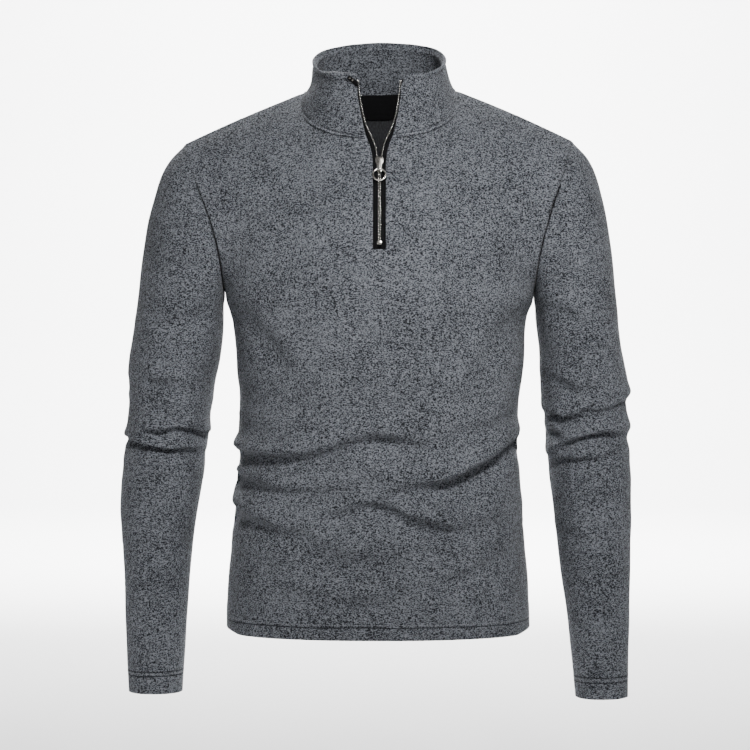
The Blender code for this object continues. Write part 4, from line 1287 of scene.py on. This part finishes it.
@dataclass
class TapeEnd:
    """The end of the wearer's right tape, folded over the collar's front.

    Attributes:
        collar: the collar that it lies on.
        half: half the strip's width.
        start: x and z of the fold.
        end: x and z of the tape's tip.
        teeth: x and z of the two last teeth.
    """

    finishes: Finishes
    collar: Obj
    half: float = 0.0024
    start: tuple[float, float] = (-0.0245, 0.0028)
    end: tuple[float, float] = (-0.0362, 0.0122)
    teeth: tuple[tuple[float, float], ...] = ((-0.0308, 0.0081), (-0.0338, 0.0103))

    def build(self) -> None:
        """Lays a short strip with two teeth on the collar's face."""
        tree = BVHTree.FromObject(self.collar, bpy.context.evaluated_depsgraph_get())
        start, end = np.array(self.start), np.array(self.end)
        way = unit(end - start)
        side = np.array([-way[1], way[0]])
        rows, columns, points = 12, 6, []
        for sign, row, column in itertools.product((1.0, -1.0), range(rows), range(columns)):
            t, c = row / (rows - 1), column / (columns - 1) * 2 - 1
            narrow = math.sqrt(max(1.0 - max((t - 0.8) / 0.28, 0.0) ** 2, 0.1))
            x, z = start + (end - start) * t + side * self.half * c * narrow
            spot = tree.ray_cast(Vector((x, -0.3, z)), BACKWARDS)[0]
            y = spot.y if spot and spot.y < -0.03 else points[-1][1] if points else -0.07
            points.append((x, y - 0.0012 - 0.0004 * (1 - c * c) - 0.00035 * sign, z))
        faces = slab_faces(rows, columns, crossed=True)
        obj = object_from("zip_tape_end", points, faces, self.finishes.tape)
        write_uv(obj, points_of(obj)[:, [0, 2]])
        hand_over(obj)
        for number, (x, z) in enumerate(self.teeth):
            spot = tree.ray_cast(Vector((x, -0.3, z)), BACKWARDS)[0]
            tooth = block(f"zip_tape_end_tooth_{number + 1}", (0.0021, 0.0013, 0.0014), -0.68)
            round_edges(tooth, 0.0003, 2)
            put_points(tooth, points_of(tooth) + np.array([x, spot.y - 0.0022, z]))
            tooth.data.materials.append(self.finishes.nickel)
            hand_over(tooth)


@dataclass
class Hardware:
    """Bottom stop, slider and ring pull.

    Attributes:
        reach: the ring's radius to the middle of its wire.
        wire: half the wire's thickness.
    """

    finishes: Finishes
    reach: float = 0.0072
    wire: float = 0.0010

    def rounded(self, node: str, width: float) -> Obj:
        """A node's form with its edges rounded off."""
        obj = copy_of_node(node, node + "_metal", (self.finishes.nickel,))
        whole_mesh(obj, lambda: bpy.ops.mesh.dissolve_limited(angle_limit=math.radians(2)))
        round_edges(obj, width, 3, limit_method="ANGLE", angle_limit=math.radians(25),
                    use_clamp_overlap=True)
        bpy.ops.object.shade_smooth_by_angle(angle=math.radians(45))
        return obj

    def ring(self) -> Obj:
        """The ring: bent wire whose two ends meet in a fine joint at its foot."""
        low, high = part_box("pull_ring")
        points = points_of(bpy.data.objects["pull_ring"])
        normal = Vector(np.linalg.svd(points - points.mean(0), full_matrices=False)[2][2])
        normal *= -1.0 if normal.y > 0 else 1.0
        across = Vector((1.0, 0.0, 0.0))
        up = normal.cross(across).normalized()
        deselect()
        bpy.ops.mesh.primitive_torus_add(
            major_radius=self.reach, minor_radius=self.wire, major_segments=96, minor_segments=20
        )
        obj = bpy.context.object
        obj.name = "pull_ring_metal"
        joint = points_of(obj)
        turn = np.arctan2(joint[:, 0], -joint[:, 1])
        pinch = 1.0 - 0.16 * bell(turn, 0.035)
        way = np.stack([np.sin(turn), -np.cos(turn), np.zeros(len(turn))], -1) * self.reach
        put_points(obj, way + (joint - way) * pinch[:, None])
        turned = Matrix((across, up, normal)).transposed().to_4x4()
        obj.matrix_world = Matrix.Translation((low + high) / 2) @ turned
        settle(obj)
        obj.data.materials.append(self.finishes.nickel)
        bpy.ops.object.shade_smooth()
        return obj

    def build(self) -> None:
        """Builds the pieces and puts them on their bodies."""
        hand_over(self.rounded("zip_slider", 0.00032), "zip_slider")
        hand_over(self.rounded("zip_stop_bottom", 0.0006), "zip_stop_bottom")
        hand_over(self.ring(), "pull_ring", PULL)


@dataclass
class NeckBand:
    """The black facing inside the back neck, its upper edge lifted to the collar."""

    finishes: Finishes
    lift: float = 0.0030

    def build(self) -> None:
        """Builds the band, its upper half drawn up under the collar's seam."""
        obj = copy_of_node("neck_band", "neck_band_twill", (self.finishes.tape,))
        crease_sharp(obj, ())
        subdivide(obj, 3)
        points = points_of(obj)
        low, high = points[:, 2].min(), points[:, 2].max()
        points[:, 2] += self.lift * soft_step((points[:, 2] - low) / (high - low) * 2.0 - 1.0)
        put_points(obj, points)
        around = np.arctan2(points[:, 0], points[:, 1]) * 0.08
        write_uv(obj, np.stack([points[:, 2], around], -1))
        bpy.ops.object.shade_smooth_by_angle(angle=math.radians(50))
        hand_over(obj, "neck_band")


# ---- sewing

HEM_ROW = -0.6158       # heights of the stitch rows
CUFF_ROW = {Side.LEFT: -0.6870, Side.RIGHT: -0.6795}
WELT_BELOW, ROW_BELOW = 0.0026, 0.0056      # below the collar's foot, along the cloth
WELT_HALF, WELT_HEIGHT = 0.0022, 0.0012
# Rings of one stitch: share of its length, size, and rise against the thread's radius.
STITCH_RINGS = ((0.0, 0.35, -0.3), (0.14, 0.85, 0.25), (0.5, 1.0, 0.45), (0.86, 0.85, 0.25),
                (1.0, 0.35, -0.3))


@dataclass
class Stitches:
    """Rows of thread lying on the cloth.

    Attributes:
        name: the object's name.
        length: one stitch's length.
        gap: the space between stitches.
        radius: half the thread's thickness.
        yarn: which thread finish it has.
    """

    name: str
    finishes: Finishes
    length: float = 0.0026
    gap: float = 0.0006
    radius: float = 0.00034
    yarn: str = "thread"
    points: list = field(default_factory=list)
    faces: list = field(default_factory=list)

    def run(self, path: Array, outward: Array) -> None:
        """Lays stitches along a path.

        Args:
            path: points on the cloth.
            outward: the cloth's direction out at each point.
        """
        along = lengths(path)
        count = int(along[-1] / (self.length + self.gap))
        pitch = along[-1] / count
        one = tube_faces(len(STITCH_RINGS), 6)
        for number in range(count):
            base = len(self.points)
            for share, size, rise in STITCH_RINGS:
                at = number * pitch + self.gap / 2 + share * (pitch - self.gap)
                centre, out = between(at, along, path), unit(between(at, along, outward))
                ahead = between(at + 0.0004, along, path) - between(at - 0.0004, along, path)
                side = unit(np.cross(unit(ahead), out))
                for turn in np.arange(6) * math.pi / 3:
                    ring = side * math.cos(turn) + out * math.sin(turn)
                    self.points.append(centre + (ring * size + out * rise) * self.radius)
            self.faces += [tuple(base + i for i in face) for face in one]

    def build(self) -> None:
        """Makes all the stitches one object on the garment."""
        yarn = getattr(self.finishes, self.yarn)
        hand_over(object_from(self.name, self.points, self.faces, yarn))


def level_path(obj: Obj, z: float, outer: Callable[[Array], Array],
               middle: Array) -> tuple[Array, Array]:
    """The line round a cloth piece's outer face at one height.

    Args:
        obj: the cloth piece.
        z: the height.
        outer: gives outward directions for points.
        middle: x and y of the piece's middle at that height.

    Returns:
        The points in order round, and the directions out.
    """
    points, normals = points_of(obj), normals_of(obj)
    ends = np.array([edge.vertices[:] for edge in obj.data.edges])
    facing = (normals * outer(points)).sum(1) > 0.2
    low, high = points[ends[:, 0]], points[ends[:, 1]]
    crossing = facing[ends].all(1) & ((low[:, 2] - z) * (high[:, 2] - z) < 0)
    share = ((z - low[:, 2]) / np.where(crossing, high[:, 2] - low[:, 2], 1.0))[:, None]
    spots = (low + (high - low) * share)[crossing]
    out = unit((normals[ends[:, 0]] * (1 - share) + normals[ends[:, 1]] * share)[crossing])
    order = np.argsort(np.arctan2(spots[:, 1] - middle[1], spots[:, 0] - middle[0]))
    return spots[order], out[order]


@dataclass
class Sewing:
    """The seen sewing: hem, cuffs and collar seam."""

    finishes: Finishes
    shell: Shell

    def hem(self) -> None:
        """The row of stitches round the hem."""
        rows = Stitches("hem_stitches", self.finishes)
        for name, sign in (("front", -1.0), ("back", 1.0)):
            piece = self.shell.pieces[name]
            spots, out = level_path(piece, HEM_ROW, lambda p: unit(p * LEVEL), np.zeros(2))
            keep = spots[:, 1] * sign > 0
            rows.run(spots[keep], out[keep])
        rows.build()

    def cuffs(self) -> None:
        """The row of stitches round each cuff, closed on itself."""
        for side in Side:
            rows = Stitches(f"cuff_{side.word}_stitches", self.finishes)
            sleeve, z = self.shell.sleeves[side], CUFF_ROW[side]
            axis = sleeve.axis_at(np.array([z]))[0]
            spots, out = level_path(self.shell.pieces[sleeve.node], z, sleeve.outward, axis)
            rows.run(np.concatenate([spots, spots[:1]]), np.concatenate([out, out[:1]]))
            rows.build()

    def collar_seam(self) -> None:
        """Welt and stitches just under the collar, from zip to zip; the stitches are near-black as
        painted shade under the welt.
        """
        points = points_of(self.shell.pieces["collar"])
        turn = np.arctan2(points[:, 0], points[:, 1])
        around = (normals_of(self.shell.pieces["collar"]) * points)[:, :2].sum(1) > 0
        foot = []
        for station in np.linspace(turn.min() + 0.03, turn.max() - 0.03, 150):
            near = np.flatnonzero((np.abs(turn - station) < 0.035) & around)
            foot.append(points[near[points[near, 2].argmin()]])
        foot = evened(np.array(foot), 10)
        away = unit(foot * LEVEL)
        slope = np.clip(0.55 + foot[:, 1:2] * 2.0, 0.30, 0.75)
        down = unit(away * slope - np.array([0.0, 0.0, 1.0]) * (1 - slope) * 1.1)
        out = unit(np.cross(np.gradient(foot, axis=0), down))
        out *= np.sign((out * away).sum(1, keepdims=True))
        self.welt(self.on_cloth(foot + down * WELT_BELOW), out)
        # near-black stitch row: painted shade under the collar's welt
        rows = Stitches("collar_stitches", self.finishes, 0.0028, 0.0003, 0.00052, "groove")
        rows.run(self.on_cloth(foot + down * ROW_BELOW + out * 0.0006), out)
        rows.build()

    def welt(self, path: Array, outward: Array) -> None:
        """The seam allowance under the stitching: a low roll of knit round the neck.

        Args:
            path: points along the roll's middle, on the cloth.
            outward: the cloth's direction out at each point.
        """
        sides, number = 12, np.arange(len(path))
        turns = (np.arange(sides) * math.tau / sides)[:, None]
        side = unit(np.cross(np.gradient(path, axis=0), outward))
        size = np.minimum(1.0, 0.3 + 0.25 * np.minimum(number, number[::-1]))[:, None, None]
        ring = side[:, None] * np.cos(turns) * WELT_HALF
        ring += outward[:, None] * np.sin(turns) * WELT_HEIGHT
        points = (path[:, None] + ring * size).reshape(-1, 3)
        faces = tube_faces(len(path), sides)
        hand_over(object_from("collar_welt", points, faces, self.finishes.knit))

    def on_cloth(self, path: Array) -> Array:
        """The points moved onto the outer face of front or back."""
        graph = bpy.context.evaluated_depsgraph_get()
        cloths = self.shell.pieces["front"], self.shell.pieces["back"]
        trees = [BVHTree.FromObject(cloth, graph) for cloth in cloths]
        found = [[tree.find_nearest(Vector(point)) for tree in trees] for point in path]
        return np.array([min(hits, key=lambda hit: hit[3])[0] for hits in found])

    def build(self) -> None:
        """Sews all of it."""
        self.hem()
        self.cuffs()
        self.collar_seam()


# ---- studio

# Name, place, aim, size, watts and spread in degrees of each lamp.
LAMPS = (
    ("key", (0.38, -1.45, 0.74), (0.0, 0.0, -0.27), 0.32, 2.4, 52.0),
    ("fill", (-1.1, -2.0, -0.5), (0.0, 0.0, -0.5), 1.0, 4.2, 180.0),
    ("wall", (0.0, 2.3, 2.1), (0.0, 6.2, 0.1), 3.0, 960.0, 140.0),
    ("floor", (0.0, 2.1, 1.5), (0.0, 2.9, -0.86), 2.4, 400.0, 180.0),
)
PAPER_SIZE = (5.2, 9.0, 1.0)
PAPER_FOLDS = ((0.12, 0.55), (0.4, 0.45), (0.7, 0.25), (1.7, 0.0))  # lift and way back
CAMERA_PLACE, CAMERA_AIM = (-0.005, -3.0, -0.24), (-0.005, 0.0, -0.333)
LENS = 122.0
SKY = 0.10              # the white world's strength


def aim_at(obj: Obj, place: Sequence[float], aim: Sequence[float]) -> None:
    """Turns a lamp or camera from its place towards a point."""
    obj.rotation_euler = (Vector(aim) - Vector(place)).to_track_quat("-Z", "Y").to_euler()


@dataclass
class Studio:
    """Floor, lights and camera."""

    finishes: Finishes
    floor: float = -0.86

    def paper(self) -> None:
        """A pale sweep of paper: floor, bend and wall."""
        bpy.ops.mesh.primitive_plane_add(size=1.0, location=(0.0, 0.0, self.floor))
        obj = bpy.context.object
        obj.name = "studio_paper"
        obj.scale = PAPER_SIZE
        settle(obj)
        bpy.ops.object.mode_set(mode="EDIT")
        bpy.ops.mesh.select_all(action="DESELECT")
        bpy.ops.object.mode_set(mode="OBJECT")
        for edge in obj.data.edges:
            edge.select = min(obj.data.vertices[i].co.y for i in edge.vertices) > 4.0
        bpy.ops.object.mode_set(mode="EDIT")
        bpy.ops.mesh.select_mode(type="EDGE")
        for lift, back in PAPER_FOLDS:
            bpy.ops.mesh.extrude_region_move(TRANSFORM_OT_translate={"value": (0.0, back, lift)})
        bpy.ops.object.mode_set(mode="OBJECT")
        obj.data.materials.append(self.finishes.paper)
        bpy.ops.object.shade_smooth()

    def build(self) -> None:
        """Builds the floor, the lights and the camera."""
        self.paper()
        for name, place, aim, size, power, spread in LAMPS:
            deselect()
            bpy.ops.object.light_add(type="AREA", location=place)
            lamp = bpy.context.object
            lamp.name = name
            aim_at(lamp, place, aim)
            lamp.data.shape = "SQUARE"
            lamp.data.size = size
            lamp.data.energy = power
            lamp.data.spread = math.radians(spread)
        world = bpy.context.scene.world or bpy.data.worlds.new("studio")
        bpy.context.scene.world = world
        world.use_nodes = True
        sky = world.node_tree.nodes["Background"].inputs
        sky["Color"].default_value = (1.0, 1.0, 1.0, 1.0)
        sky["Strength"].default_value = SKY
        deselect()
        bpy.ops.object.camera_add(location=CAMERA_PLACE)
        camera = bpy.context.object
        aim_at(camera, CAMERA_PLACE, CAMERA_AIM)
        camera.data.lens = LENS
        camera.data.sensor_width = 36.0
        camera.data.clip_end = 60.0
        bpy.context.scene.camera = camera
        LOG.info("studio ready")


def main() -> None:
    """Builds the sweatshirt over its frame."""
    logging.basicConfig(level=logging.INFO, format="%(message)s")
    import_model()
    finishes = Finishes()
    shell = Shell(finishes)
    shell.build()
    NeckBand(finishes).build()
    for side in Side:
        ZipHalf(ZipLine(side), finishes).build()
    TapeEnd(finishes, shell.pieces["collar"]).build()
    Hardware(finishes).build()
    Sewing(finishes, shell).build()
    Studio(finishes).build()


if __name__ == "__main__":
    main()
